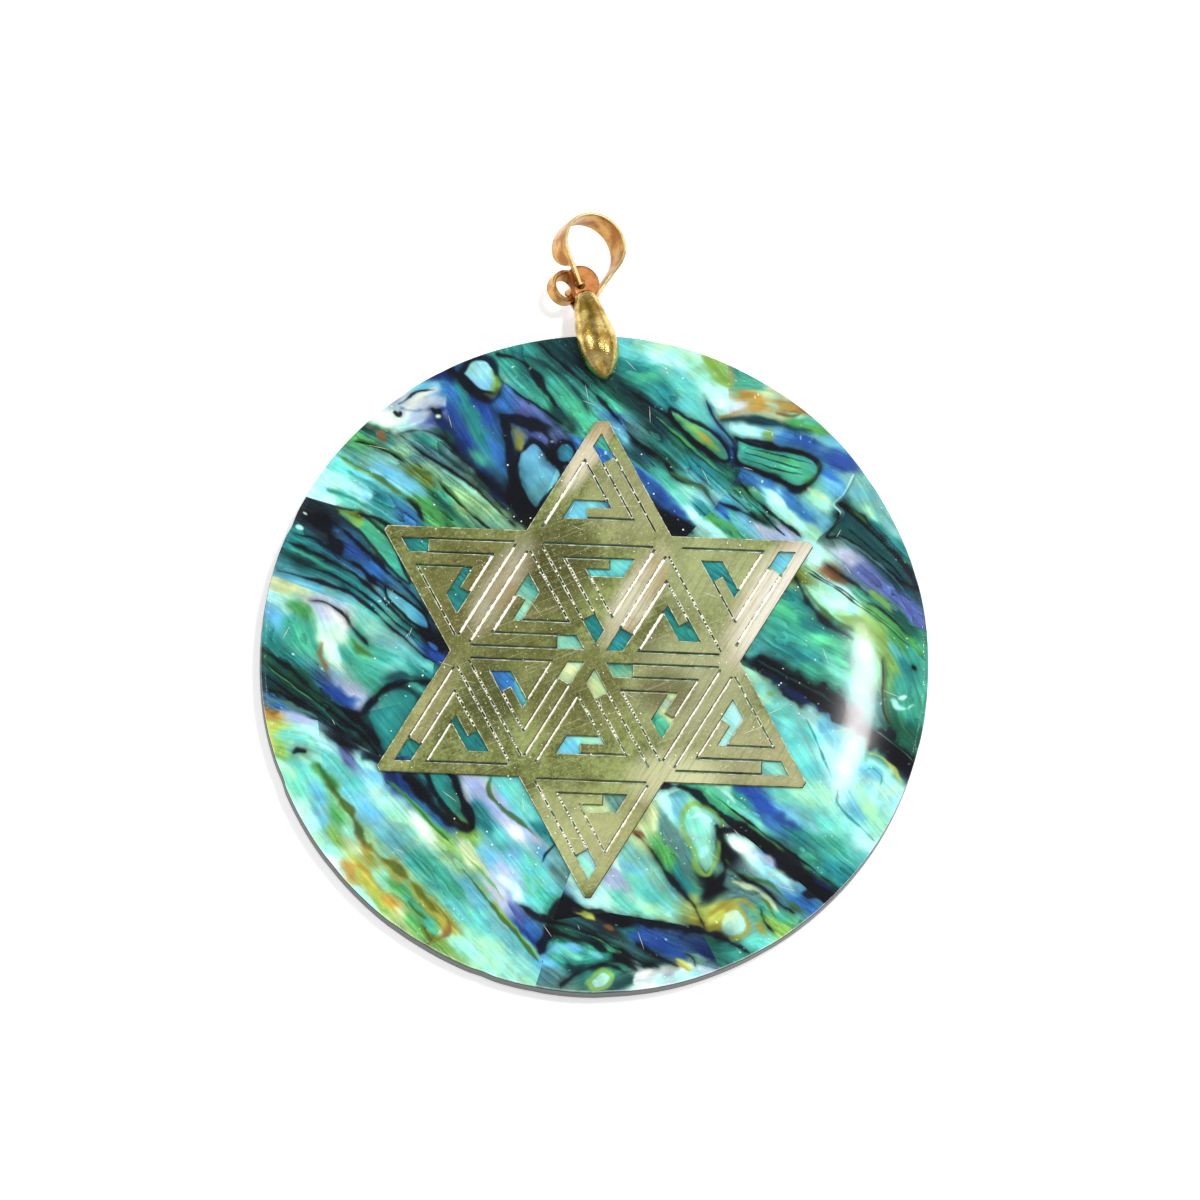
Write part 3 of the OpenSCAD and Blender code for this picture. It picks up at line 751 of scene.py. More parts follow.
# Closed patches: pigment, softness of the edge, pigment and width of the rim, x and y of the corners
PATCHES = (
    ("ice", .25, "ink", .5, -105, 217, -99, 227, -87, 227, -80, 213, -82, 204, -92, 205),
    ("sky", .2, "ink", .45, -60, 158, -50, 166, -42, 158, -30, 142, -42, 124, -47, 116, -55, 125, -63, 142),
    ("teal", .3, "ink", .3, -35, 160, -30, 167, -23, 166, -20, 159, -24, 153, -32, 153),
    ("sea", .25, "coal", .22, -196, 110, -176, 105, -156, 87, -145, 66, -141, 55, -155, 67, -176, 91,
     -192, 103),
    ("sky", .2, "ink", .2, -158, 52, -130, 33, -125, 21, -136, 25, -155, 43),
    ("teal", .5, "deep", .3, -169, -47, -161, -32, -146, -25, -132, -30, -133, -44, -146, -67, -155, -76),
    ("teal", .35, "ink", .45, -123, -88, -106, -89, -97, -108, -89, -126, -96, -124, -106, -114, -116, -102),
    ("mint", .35, "lime", .35, 69, -113, 75, -105, 88, -107, 97, -116, 97, -126, 95, -140, 91, -153,
     87, -157, 81, -150, 79, -138, 71, -126),
    ("pearl", .3, "ochre", .4, 101, -186, 112, -182, 118, -189, 118, -199, 108, -204, 99, -199),
    ("sea", .25, "ink", .35, 101, 175, 117, 170, 145, 166, 158, 162, 163, 155, 158, 146, 147, 141, 131, 147,
     113, 153, 102, 159),
    ("leaf", .25, "ink", .3, 51, 195, 65, 188, 85, 177, 96, 162, 90, 159, 70, 173, 55, 186),
    ("deep", .35, "ink", .15, 179, 128, 192, 118, 210, 103, 226, 86, 239, 66, 220, 76, 200, 92, 182, 104,
     170, 104, 178, 116),
    ("pearl", .25, "lime", .3, 3, -242, 13, -234, 19, -238, 17, -245, 8, -248),
    ("ice", .4, "mint", .3, 163, 63, 176, 63, 192, 50, 186, 45, 170, 50),
)

# Bands and lines: pigment, width, softness, x and y of the points
LINES = (
    ("lime", .7, .5, -84, 219, -79, 211, -82, 203),
    ("olive", .35, .3, -89, 202, -82, 200, -78, 206),
    ("ochre", .9, .5, -65, 175, -61, 167, -59, 161),
    ("ink", .8, .35, -76, 187, -66, 184, -54, 180, -43, 174, -37, 166, -36, 155, -30, 149),
    ("ink", .75, .3, -76, 186, -70, 170, -67, 154, -66, 140, -61, 128, -52, 116),
    ("ink", 1.2, .6, -76, 134, -64, 124, -53, 110, -49, 102),
    ("ink", .5, .35, -120, 224, -111, 217, -102, 206, -92, 199, -82, 197, -76, 203),
    ("navy", .9, .6, -124, 180, -110, 170, -102, 155, -86, 136, -72, 122),
    ("ink", .45, .3, -152, 169, -134, 172, -118, 166, -102, 151, -86, 136, -67, 122, -50, 102),
    ("ink", .5, .25, -80, 234, -64, 229, -52, 219, -44, 207, -33, 192, -22, 179),
    ("deep", .9, .6, -36, 194, -26, 182, -20, 178),
    ("ink", .18, .15, -78, 213, -64, 203, -48, 193, -34, 184, -22, 177),
    ("deep", .3, .2, -69, 236, -50, 229, -32, 219, -18, 204, -9, 190),
    ("ink", .25, .2, -49, 243, -32, 228, -14, 212, 6, 193, 26, 170, 44, 156),
    ("deep", .5, .4, -26, 245, -8, 226, 12, 208, 36, 190),
    ("ink", .25, .2, 8, 216, 30, 202, 52, 188, 70, 170, 94, 152),
    ("ink", .12, .1, 22, 202, 50, 180, 76, 158, 99, 141),
    ("leaf", .2, .15, 36, 193, 62, 172, 86, 152, 98, 145),
    ("ink", .3, .2, 24, 170, 44, 159, 58, 143, 74, 139, 82, 129, 88, 122),
    ("moss", .4, .3, 52, 148, 66, 141, 78, 136, 83, 126),
    ("haze", .5, .4, 77, 204, 84, 192, 94, 179, 100, 169),
    ("navy", .22, .15, 75, 207, 84, 189, 96, 176, 100, 168, 99, 154),
    ("lime", .6, .4, 56, 192, 68, 182, 80, 172, 90, 164),
    ("amber", .4, .3, 71, 180, 77, 176, 81, 172),
    ("lime", .8, .5, 72, 238, 79, 232, 82, 224, 90, 219, 99, 216),
    ("amber", .55, .4, 94, 215, 106, 211, 115, 208, 117, 201, 109, 197, 98, 195, 88, 191),
    ("amber", .5, .4, 119, 206, 132, 204, 146, 199, 153, 194),
    ("rust", .25, .25, 130, 196, 142, 194, 151, 198),
    ("deep", .4, .3, 89, 189, 106, 191, 122, 190, 138, 186, 156, 184),
    ("leaf", .45, .4, 134, 190, 150, 188, 166, 184),
    ("lime", .8, .5, 122, 181, 126, 178),
    ("ink", .3, .2, 100, 177, 116, 174, 134, 170, 156, 166),
    ("ink", .1, .1, 108, 169, 130, 165, 157, 159),
    ("ink", .1, .1, 106, 165, 132, 159, 158, 153),
    ("leaf", .2, .15, 108, 167, 132, 162, 156, 156),
    ("ink", .1, .1, 106, 160, 128, 154, 152, 150),
    ("ink", .6, .35, 99, 158, 114, 152, 132, 146, 146, 138, 156, 142),
    ("moss", .6, .5, 154, 144, 161, 150, 163, 159),
    ("sand", .5, .5, 156, 140, 166, 134, 174, 126),
    ("blue", .8, .5, 106, 147, 122, 142, 138, 132, 152, 122, 164, 112),
    ("ice", .7, .5, 112, 139, 128, 129, 142, 117, 154, 109),
    ("ink", .3, .2, 102, 146, 112, 134, 126, 121, 140, 111, 151, 102),
    ("ink", .15, .1, 104, 136, 118, 122, 134, 107, 139, 102),
    ("ink", .12, .1, 96, 133, 110, 122, 122, 112),
    ("ink", .3, .2, 89, 126, 104, 121, 118, 114, 126, 111),
    ("leaf", .4, .3, 80, 114, 92, 113, 100, 107, 104, 101),
    ("ink", .9, .4, 40, 124, 50, 114, 62, 106, 72, 100),
    ("royal", .7, .5, 24, 152, 36, 139, 49, 127, 62, 116),
    ("slate", .2, .15, 190, 150, 183, 135, 177, 128, 182, 120, 172, 110, 163, 103),
    ("ice", .15, .1, 189, 151, 182, 136, 175, 128, 180, 120, 170, 111),
    ("ink", .4, .3, 179, 129, 194, 122, 206, 110, 220, 96, 236, 76),
    ("moss", .3, .3, 186, 130, 192, 122, 202, 114),
    ("ink", .15, .12, 186, 110, 206, 94, 224, 78, 240, 58),
    ("slate", .2, .15, 176, 106, 196, 94, 214, 80, 232, 62),
    ("rust", .6, .4, 166, 80, 176, 74, 186, 68),
    ("ink", .35, .25, 169, 83, 182, 74, 196, 66, 202, 60),
    ("ink", .12, .1, 154, 80, 172, 69, 189, 59, 206, 47, 228, 31, 247, 13),
    ("ink", .12, .1, 158, 75, 176, 65, 194, 53, 214, 39, 234, 23),
    ("ink", .25, .2, 202, 54, 214, 48, 226, 37, 239, 24),
    ("lime", .35, .3, 202, 64, 212, 57, 220, 48),
    ("leaf", .5, .4, 204, 52, 216, 42, 230, 31, 244, 17),
    ("lime", .9, .7, 179, 43, 196, 40, 210, 30, 216, 16, 217, 4),
    ("ink", .5, .4, 147, 72, 153, 62, 158, 52, 168, 41, 178, 33, 193, 26),
    ("moss", .35, .3, 153, 68, 160, 57, 170, 46, 184, 36, 196, 30),
    ("moss", .45, .4, 215, 14, 216, -4, 217, -22, 219, -36),
    ("ink", .16, .12, 214, 12, 215, -6, 216, -26, 220, -38),
    ("ink", 1.7, .5, 107, 11, 124, 2, 142, -8, 162, -19, 182, -28, 204, -43, 224, -58, 246, -76),
    ("deep", .2, .15, 118, 9, 146, -6, 172, -19, 190, -30),
    ("navy", .5, .4, 126, -2, 150, -18, 174, -31),
    ("slate", .12, .1, 204, -40, 224, -52, 244, -69),
    ("sun", .3, .25, 208, -60, 218, -64, 227, -74, 232, -81),
    ("lime", .5, .4, 128, -17, 134, -18),
    ("ice", .7, .5, 206, -68, 213, -68, 219, -74, 220, -84),
    ("teal", .2, .15, 204, -74, 210, -72, 216, -78, 215, -86),
    ("teal", .15, .12, 159, -36, 166, -50, 173, -66, 179, -80),
    ("haze", .15, .12, 150, -34, 160, -52, 169, -72),
    ("teal", .2, .2, 183, -88, 184, -98, 192, -108, 204, -118, 212, -126),
    ("royal", .9, .6, 109, -91, 124, -99, 140, -112, 154, -119),
    ("ice", .5, .4, 92, -89, 102, -96, 108, -102),
    ("leaf", .22, .15, 79, -91, 98, -104, 118, -118, 139, -133, 162, -150, 184, -166),
    ("ink", .7, .25, 46, -91, 66, -91, 84, -100, 102, -114, 122, -128, 142, -143, 160, -159),
    ("ink", 1.5, .4, 126, -134, 144, -146, 162, -159, 186, -176, 196, -184),
    ("ink", .16, .12, 84, -92, 102, -104, 122, -119, 144, -134, 170, -152, 192, -169),
    ("navy", .4, .3, 162, -152, 174, -161, 186, -169),
    ("ink", .55, .3, 94, -120, 98, -130, 102, -142, 102, -154, 96, -164, 89, -173, 84, -182),
    ("ink", .5, .3, 97, -123, 108, -123, 116, -126),
    ("ink", .35, .3, 84, -166, 92, -170, 98, -162),
    ("ice", .5, .3, 81, -137, 85, -139, 84, -145),
    ("ice", .3, .25, 76, -114, 83, -112, 89, -116),
    ("lilac", .8, .5, 112, -132, 126, -141, 138, -149),
    ("ice", .7, .5, 132, -150, 144, -158, 154, -167),
    ("moss", .35, .25, 102, -146, 112, -156, 124, -160, 136, -163, 148, -174, 164, -186),
    ("ink", .25, .2, 104, -150, 116, -159, 130, -166, 142, -176, 154, -184),
    ("sand", .4, .3, 108, -162, 122, -166, 134, -174, 144, -184),
    ("olive", .25, .2, 122, -170, 132, -176, 138, -184, 146, -194),
    ("ochre", .55, .35, 84, -196, 94, -186, 106, -178, 116, -176, 124, -182, 127, -192, 134, -202),
    ("ink", .22, .2, 128, -182, 132, -192, 140, -200),
    ("sun", .5, .4, 88, -195, 96, -190, 102, -184),
    ("ink", .4, .3, 34, -128, 46, -140, 56, -154, 66, -166, 76, -178, 84, -190, 88, -198),
    ("rust", .25, .2, 32, -127, 39, -129, 44, -135),
    ("leaf", .6, .4, 49, -127, 56, -139, 63, -150),
    ("slate", .6, .4, 56, -114, 62, -128, 69, -144, 75, -160),
    ("ink", .7, .3, -12, -186, 4, -190, 22, -194, 46, -196, 68, -198, 88, -201, 106, -207, 122, -216),
    ("sun", .5, .25, -11, -187, -2, -191, 7, -196),
    ("rust", .3, .25, 12, -199, 20, -202),
    ("ink", .3, .2, -26, -197, -6, -203, 14, -212, 34, -222, 52, -231),
    ("ink", .45, .3, -28, -204, -12, -209, 6, -214, 22, -222, 38, -232),
    ("leaf", .12, .1, -16, -203, 6, -209, 26, -219),
    ("ink", .35, .3, -18, -245, -6, -236, 6, -231, 19, -229, 28, -234),
    ("sky", .5, .4, -30, -222, -18, -216, -4, -218, 12, -223),
    ("royal", .8, .5, 29, -203, 46, -209, 62, -216, 74, -222),
    ("ink", .35, .3, 38, -212, 54, -221, 68, -228),
    ("sun", .3, .25, 66, -222, 73, -226, 80, -231),
    ("amber", .2, .2, 67, -225, 74, -229, 79, -233),
    ("rose", .9, .3, 36, -244, 46, -236, 54, -232),
    ("ice", .6, .3, 54, -240, 70, -237, 86, -233),
    ("ink", .3, .25, 43, -230, 48, -227, 55, -229),
    ("ink", .2, .15, 74, -219, 79, -222, 82, -228),
    ("ink", .5, .3, -51, -186, -40, -192, -29, -196, -24, -198),
    ("ink", .8, .4, -29, -202, -32, -212, -35, -223),
    ("ink", .9, .4, -27, -192, -16, -184, -4, -186),
    ("leaf", .4, .25, -150, -97, -132, -112, -116, -127, -103, -139),
    ("moss", .18, .12, -152, -95, -130, -114, -112, -132, -100, -144),
    ("lime", .35, .25, -89, -162, -76, -178, -62, -195, -48, -211, -34, -226),
    ("moss", .3, .15, -94, -160, -76, -182, -60, -200, -44, -218, -34, -230),
    ("leaf", .2, .15, -92, -150, -76, -166, -62, -184),
    ("lime", .7, .5, -98, -134, -91, -133, -87, -129),
    ("ink", .5, .3, -139, -93, -128, -104, -114, -116, -102, -126, -91, -130, -86, -126),
    ("ink", .6, .3, -104, -90, -97, -106, -89, -120, -86, -129),
    ("moss", .3, .2, -74, -89, -76, -100, -66, -112, -52, -123, -34, -138),
    ("ink", .15, .15, -34, -153, -32, -146, -26, -138),
    ("aqua", .6, .5, -46, -149, -42, -164, -40, -178),
    ("rust", .5, .4, -206, -88, -194, -102, -182, -116, -175, -128, -168, -144, -156, -154),
    ("leaf", .8, .6, -208, -86, -196, -98, -184, -112),
    ("ochre", 1.1, .8, -168, -149, -154, -156, -140, -166, -126, -179, -114, -193, -103, -202),
    ("moss", .5, .35, -204, -86, -193, -102, -182, -116, -174, -128, -167, -143),
    ("olive", .5, .3, -167, -143, -156, -153, -140, -164, -128, -175, -116, -190, -104, -199),
    ("rust", .6, .4, -104, -199, -102, -208, -110, -215, -124, -220),
    ("sun", .6, .5, -178, -162, -168, -167, -161, -177, -152, -187, -144, -196),
    ("amber", .5, .5, -186, -165, -174, -161, -162, -166),
    ("amber", .5, .5, -154, -182, -147, -190, -142, -199),
    ("moss", .25, .2, -134, -186, -129, -194, -120, -200),
    ("ink", .5, .2, -223, -79, -218, -76, -213, -76),
    ("rust", .4, .3, -246, -44, -240, -48, -234, -47),
    ("sun", .5, .5, -245, -54, -240, -66, -236, -78),
    ("mint", .3, .3, -228, -63, -216, -64, -206, -72),
    ("ink", .45, .25, -249, 1, -232, -10, -214, -25, -200, -35, -184, -44, -169, -56, -156, -74),
    ("ink", .25, .15, -249, -9, -230, -21, -210, -35, -190, -48, -172, -62, -158, -78),
    ("ink", .2, .15, -249, -18, -232, -29, -212, -41, -192, -55, -174, -68),
    ("ink", .4, .25, -246, -30, -232, -34, -216, -43, -200, -53, -186, -62, -170, -71),
    ("leaf", .12, .1, -244, -13, -222, -28, -200, -43),
    ("slate", .4, .3, -245, -39, -230, -40, -214, -46, -202, -52),
    ("ink", .7, .35, -194, -63, -184, -69, -172, -73, -158, -82),
    ("royal", 1.1, .8, -200, -30, -189, -34, -178, -35),
    ("ink", .5, .3, -186, -43, -173, -46, -165, -37, -157, -27, -146, -21, -132, -19, -120, -20),
    ("deep", .7, .5, -156, -18, -144, -15, -130, -17),
    ("ink", .5, .3, -186, 29, -181, 20, -175, 13, -169, 7),
    ("moss", .5, .5, -182, 12, -176, 4, -166, -2),
    ("rose", .8, .6, -209, 36, -199, 33, -190, 26, -186, 18),
    ("ink", .18, .15, -214, 39, -202, 38, -190, 31, -184, 24),
    ("rust", .5, .6, -204, 6, -205, -4, -200, -12),
    ("ink", .28, .2, -239, 61, -220, 57, -204, 53, -186, 47, -168, 34, -150, 19, -130, 2, -116, -6),
    ("ink", .2, .15, -237, 74, -216, 65, -196, 59, -178, 48, -160, 34, -142, 19, -124, 5),
    ("ink", .25, .2, -234, 84, -214, 76, -194, 67, -176, 56, -158, 40, -140, 24, -122, 10),
    ("ink", .18, .15, -228, 90, -212, 86, -198, 77),
    ("sea", .3, .2, -232, 79, -214, 71, -198, 63),
    ("ink", .9, .3, -230, 109, -218, 105, -206, 96, -198, 86, -192, 74),
    ("ink", .35, .2, -196, 98, -184, 88, -170, 76, -158, 64, -146, 54, -132, 40, -122, 26),
    ("ink", .3, .2, -192, 73, -176, 64, -166, 54, -156, 48),
    ("ink", .6, .3, -170, 59, -162, 55, -159, 53),
    ("ice", .5, .2, -228, 96, -222, 94),
    ("pearl", .3, .15, -222, 107, -218, 105),
    ("ink", .8, .4, -132, 22, -122, 14, -114, 4),
    ("blue", .35, .2, -125, 11, -118, 5),
    ("lime", .9, .5, -194, 108, -184, 103, -178, 99),
    ("olive", .4, .3, -198, 110, -186, 106, -176, 105),
    ("ink", .3, .2, -179, 106, -166, 103, -156, 96, -149, 84, -142, 66),
    ("moss", .4, .25, -200, 153, -188, 146, -174, 139, -158, 129, -142, 119, -133, 112),
    ("lime", .25, .2, -196, 148, -182, 142, -170, 136),
    ("ink", .35, .25, -146, 120, -136, 112, -130, 102),
    ("leaf", .9, .5, -131, 116, -123, 109, -115, 102),
    ("moss", .25, .2, -184, 163, -168, 160, -152, 152, -136, 141, -122, 135),
    ("ink", .16, .12, -186, 162, -166, 158, -150, 149, -138, 140),
    ("moss", .35, .25, -139, 142, -126, 138, -114, 128, -102, 116, -86, 102),
    ("ink", .16, .12, -122, 134, -106, 119, -92, 106, -80, 98),
    ("ink", .2, .15, -150, 168, -136, 157, -122, 148, -108, 140, -92, 128, -78, 116, -62, 102),
    ("deep", .2, .2, -142, 169, -126, 159, -110, 149, -94, 138, -80, 126, -62, 110),
    ("ink", .14, .1, -130, 170, -114, 159, -98, 147),
    ("mint", .3, .3, -118, 142, -102, 132, -86, 120, -72, 109),
    ("sky", .6, .5, -168, 146, -154, 139, -140, 129, -128, 122),
    ("ice", .7, .5, -206, 139, -194, 132, -182, 127, -172, 121),
    ("teal", .3, .25, -204, 124, -188, 119, -172, 111, -158, 103),
    ("teal", .3, .25, -190, 140, -174, 131, -158, 120, -146, 110),
    ("rust", .6, .3, -176, 174, -167, 169, -162, 163),
    ("violet", .5, .4, -150, 189, -139, 187, -127, 189),
    ("ink", .16, .15, -153, 192, -140, 202, -126, 204),
    ("ink", .5, .12, -156, 185, -153, 183, -151, 185),
    ("ink", .35, .12, -128, 189, -125, 187, -122, 187, -121, 184),
    ("pearl", .25, .15, -124, 183, -121, 183),
    ("ink", .35, .2, 238, 7, 240, 5),
    ("ice", .4, .25, 223, -19, 227, -25, 234, -26, 239, -22),
    ("pearl", .25, .2, 228, -18, 233, -16),
)


def grain_field(x, y):
    """Unit direction of the growth lines and their strength: the mean of the given directions, as
    doubled angles so that opposite ways agree, each weighted by 1 / (d^2 + 0.4)^2 at its distance d."""
    g = np.asarray(GRAIN, float)
    a = np.radians(2 * g[:, 2])
    w = 1 / ((x[..., None] - g[:, 0]) ** 2 + (y[..., None] - g[:, 1]) ** 2 + 0.4) ** 2
    w /= w.sum(-1, keepdims=True)
    turn = 0.5 * np.arctan2((w * np.sin(a)).sum(-1), (w * np.cos(a)).sum(-1))
    return np.cos(turn), np.sin(turn), (w * g[:, 3]).sum(-1)


# The lattice on which the direction is kept: half its side and its step
GRID_HALF, GRID_STEP = 26.0, 0.5


class GrainTable:
    """The direction of the growth lines on a square lattice over the disc, read with blending."""

    def __init__(self):
        k = np.arange(-GRID_HALF, GRID_HALF + GRID_STEP, GRID_STEP)
        gx, gy = np.meshgrid(k, k, indexing="ij")
        dx, dy, self.strength = grain_field(gx, gy)
        self.double = np.stack([dx * dx - dy * dy, 2 * dx * dy], -1)

    def read(self, table, x, y):
        """A table's value between points, the four round it counted by (1 - u)(1 - v), u (1 - v),
        (1 - u) v and u v."""
        last = 2 * GRID_HALF / GRID_STEP - 0.01
        u, v = (np.clip((k + GRID_HALF) / GRID_STEP, 0, last) for k in (x, y))
        i, j = u.astype(int), v.astype(int)
        u, v = u - i, v - j
        if table.ndim == 3:
            u, v = u[:, None], v[:, None]
        return ((table[i, j] * (1 - u) + table[i + 1, j] * u) * (1 - v)
                + (table[i, j + 1] * (1 - u) + table[i + 1, j + 1] * u) * v)

    def direction(self, x, y):
        """Unit direction at each point: half the angle of the doubled direction."""
        d = self.read(self.double, x, y)
        a = 0.5 * np.arctan2(d[:, 1], d[:, 0])
        return np.cos(a), np.sin(a)


def streaks(x, y, table, cell, steps, seed, stride=1.0):
    """Noise averaged along the growth lines: its sum over some steps both ways from each point, each
    cell stride long, divided by sqrt((2 steps + 1) / stride) and times 1.3 to bring its contrast back."""
    total = value_noise(x / cell, y / cell, seed)
    for way in (cell * stride, -cell * stride):
        px, py = x.copy(), y.copy()
        for _ in range(steps):
            dx, dy = table.direction(px, py)
            px, py = px + way * dx, py + way * dy
            total = total + value_noise(px / cell, py / cell, seed)
    return total / np.sqrt((2 * steps + 1) / stride) * 1.3


def step(low, high, v):
    """0 below low, 1 above high and t^2 (3 - 2t) between them, with t the part of the way."""
    t = np.clip((v - low) / (high - low), 0, 1)
    return t * t * (3 - 2 * t)


def stroke_distance(x, y, path, width):
    """Distance outside a path's edge: the least distance to the path less its half width there, which at the
    part s of its length is width / 2 (0.2 + 0.8 (4 s (1 - s))^0.6), so that it tapers to a fifth."""
    best = np.full(x.shape, 1e9)
    n = len(path) - 1
    for k in range(n):
        a, d = path[k], path[k + 1] - path[k]
        t = np.clip(((x - a[0]) * d[0] + (y - a[1]) * d[1]) / max(d @ d, 1e-9), 0, 1)
        s = (k + t) / n
        half = width / 2 * (0.2 + 0.8 * np.clip(4 * s * (1 - s), 0, 1) ** 0.6)
        best = np.minimum(best, np.hypot(x - a[0] - t * d[0], y - a[1] - t * d[1]) - half)
    return best


def washes_at(x, y, wx, wy, ring, table):
    """Colour of the washes from 0 to 1: the mean of the pigments placed in the outline, each weighted by
    1 / ((0.55 along)^2 + (1.5 across)^2 + 0.08)^2.1, with along and across its distances along and across
    the growth lines, which draws the washes out along them."""
    spots = [(*place, *PIGMENT[name]) for name, places in WASHES.items() for place in places]
    spots = np.array(spots, float)
    spots[:, :2] /= TENTHS
    spots = spots[outline_distance(spots[:, 0], spots[:, 1], ring)[0] < 0.25]
    dx, dy = table.direction(x, y)
    bend = 0.5 * layered_noise(x / 2.2, y / 2.2, 23)
    ox, oy = wx[:, None] - spots[:, 0], wy[:, None] - spots[:, 1]
    along = ox * dx[:, None] + oy * dy[:, None]
    across = -ox * dy[:, None] + oy * dx[:, None] + bend[:, None]
    w = 1 / ((along * 0.55) ** 2 + (across * 1.5) ** 2 + 0.08) ** 2.1
    return (w[..., None] * spots[:, 2:]).sum(1) / w.sum(1)[:, None] / 255


def growth_shade(power, fine, broad):
    """Light and shade of the growth lines: with s the remainder of 1.15 broad + 0.06 fine, it is
    1 + power (0.42 (s - 0.5) - 0.3 exp(-s / 0.075) + 0.12 fine), kept from 0.3 to 1.6."""
    layer = (1.15 * broad + 0.06 * fine + 40) % 1.0
    light = 1 + power * (0.42 * (layer - 0.5) - 0.3 * np.exp(-layer / 0.075)) + 0.12 * power * fine
    return np.clip(light, 0.3, 1.6)[:, None]


def lay(colour, mask, name, cover):
    """Covers the points of a mask with a pigment: colour + (pigment - colour) cover."""
    colour[mask] += (np.asarray(PIGMENT[name]) / 255 - colour[mask]) * cover[:, None]


def near_to(x, y, path, reach):
    """The points in the box round a path, widened by reach."""
    return ((x > path[:, 0].min() - reach) & (x < path[:, 0].max() + reach)
            & (y > path[:, 1].min() - reach) & (y < path[:, 1].max() + reach))


def lay_patches(colour, x, y, vary, frayed):
    """Lays each closed patch, its outline roughened by noise: the rim covers 0.85 and the inside 0.6, a dark
    rim shades 0.7 mm round it, and the inside lightens by up to 0.22."""
    for name, soft, rim, rim_width, *corners in PATCHES:
        soft = soft * 0.6
        corners = np.reshape(corners, (-1, 2)) / TENTHS
        outline = smooth_path([*corners, corners[0]], 5)[:-1]
        near = near_to(x, y, outline, rim_width + soft + 0.8)
        if not near.any():
            continue
        d = outline_distance(x[near], y[near], outline)[0] + 0.25 * soft * frayed[near]
        width = rim_width * (0.35 + 1.2 * vary[near])
        outside = step(-soft, 0, d)
        if rim in DARK:
            colour[near] *= 1 - 0.25 * (1 - step(0, 0.7, d))[:, None] * outside[:, None]
        lay(colour, near, rim, 0.85 * (1 - step(width * 0.4, width + soft * 0.5, d)) * outside)
        lay(colour, near, name, 0.6 * (1 - step(-1.4 * soft, 0, d)))
        colour[near] *= 1 + 0.22 * (1 - step(-2.4, -0.2, d))[:, None]


def lay_lines(colour, x, y, vary, frayed):
    """Lays each tapered line: it covers 0.86 inside its edge, which noise moves by parts of its width, and
    fades over its softness. A wide dark one shades the shell beside it by 0.25."""
    for name, width, soft, *points in LINES:
        soft = soft * 0.55
        path = smooth_path(np.reshape(points, (-1, 2)) / TENTHS, 4)
        near = near_to(x, y, path, width / 2 + soft + 0.7)
        if not near.any():
            continue
        d = stroke_distance(x[near], y[near], path, width)
        d = d + width * (0.45 - 0.8 * vary[near]) + 0.2 * width * frayed[near]
        if name in DARK and width > 0.17:
            colour[near] *= 1 - 0.25 * (1 - step(-0.1, 0.25 + 0.7 * width, d))[:, None]
        lay(colour, near, name, 0.86 * (1 - step(-0.9 * soft, 0.8 * soft, d)))


def drifted(colour, x, y, fine, broad, pale):
    """The colour times 1.06 + 0.17 mound + 0.03 fine, times a slow drift of red against blue, and plus a
    quicker one where the shell is pale."""
    mound = layered_noise(x / 1.3 + 0.3 * broad, y / 1.3, 61, 4)
    drift = layered_noise(x / 2.5 + broad * 0.5, y / 2.5, 71)
    small = layered_noise(x / 0.8, y / 0.8 + 0.3 * broad, 73)
    colour = colour * (1.06 + 0.17 * mound[:, None] + 0.03 * fine[:, None])
    colour = colour * (1 + 0.1 * np.stack([drift, 0.3 * drift, -drift], -1) + (0, 0.05, 0))
    return colour + 0.06 * (0.4 + pale[:, None]) * np.stack([small, 0.3 * drift, -0.6 * small], -1)


def toned(colour, x, y):
    """The colour with its tone set and pale specks added as painted glints: its grey g becomes 0.5 + (g -
    0.5) k, with k from 1.06 in the dark to 1.16 in the light, and its strength falls from 1.01 to 0.86 in
    the light."""
    grey = colour.mean(1, keepdims=True)
    level = np.maximum(0.5 + (grey - 0.5) * (1.06 + 0.1 * step(0.3, 0.9, grey)), 0.02)
    strength = 1.01 - 0.15 * step(0.4, 0.75, grey)
    colour = (grey + (colour - grey) * strength) * level / np.maximum(grey, 0.02)
    colour = colour * (0.91, 1.0, 0.99)
    # Pale specks: painted glints on the shell
    glint_speck = value_noise(x / 0.14, y / 0.14, 91) * value_noise(x / 0.31, y / 0.31, 95)
    where = step(0.5, 0.68, glint_speck) * step(-0.1, 0.7, value_noise(x / 1.4, y / 1.4, 93))
    return np.clip(colour + where[:, None] * 0.5, 0.01, 1)


def shell_paint(x, y, ring, table):
    """Screen colour of a shell piece at (x, y), from 0 to 1: washes, growth lines, patches and lines, whose
    places wander by up to 0.12 mm, then drift and tone."""
    wx = x + 0.12 * layered_noise(x / 1.3, y / 1.3, 5)
    wy = y + 0.12 * layered_noise(x / 1.3, y / 1.3, 11)
    colour = washes_at(x, y, wx, wy, ring, table)
    pale = step(0.42, 0.68, colour.mean(1))
    fine = streaks(x, y, table, 0.13, 12, 31)
    broad = streaks(x, y, table, 0.7, 16, 47, 0.5)
    colour *= growth_shade(table.read(table.strength, x, y) * (1 - 0.75 * pale), fine, broad)
    vary = 0.5 + 0.5 * value_noise(wx / 0.9, wy / 0.9, 83)
    frayed = 0.5 * value_noise(wx / 0.35, wy / 0.35, 87)
    lay_patches(colour, wx, wy, vary, frayed)
    lay_lines(colour, wx, wy, vary, frayed)
    return toned(drifted(colour, x, y, fine, broad, pale), x, y)


# Pieces of shell


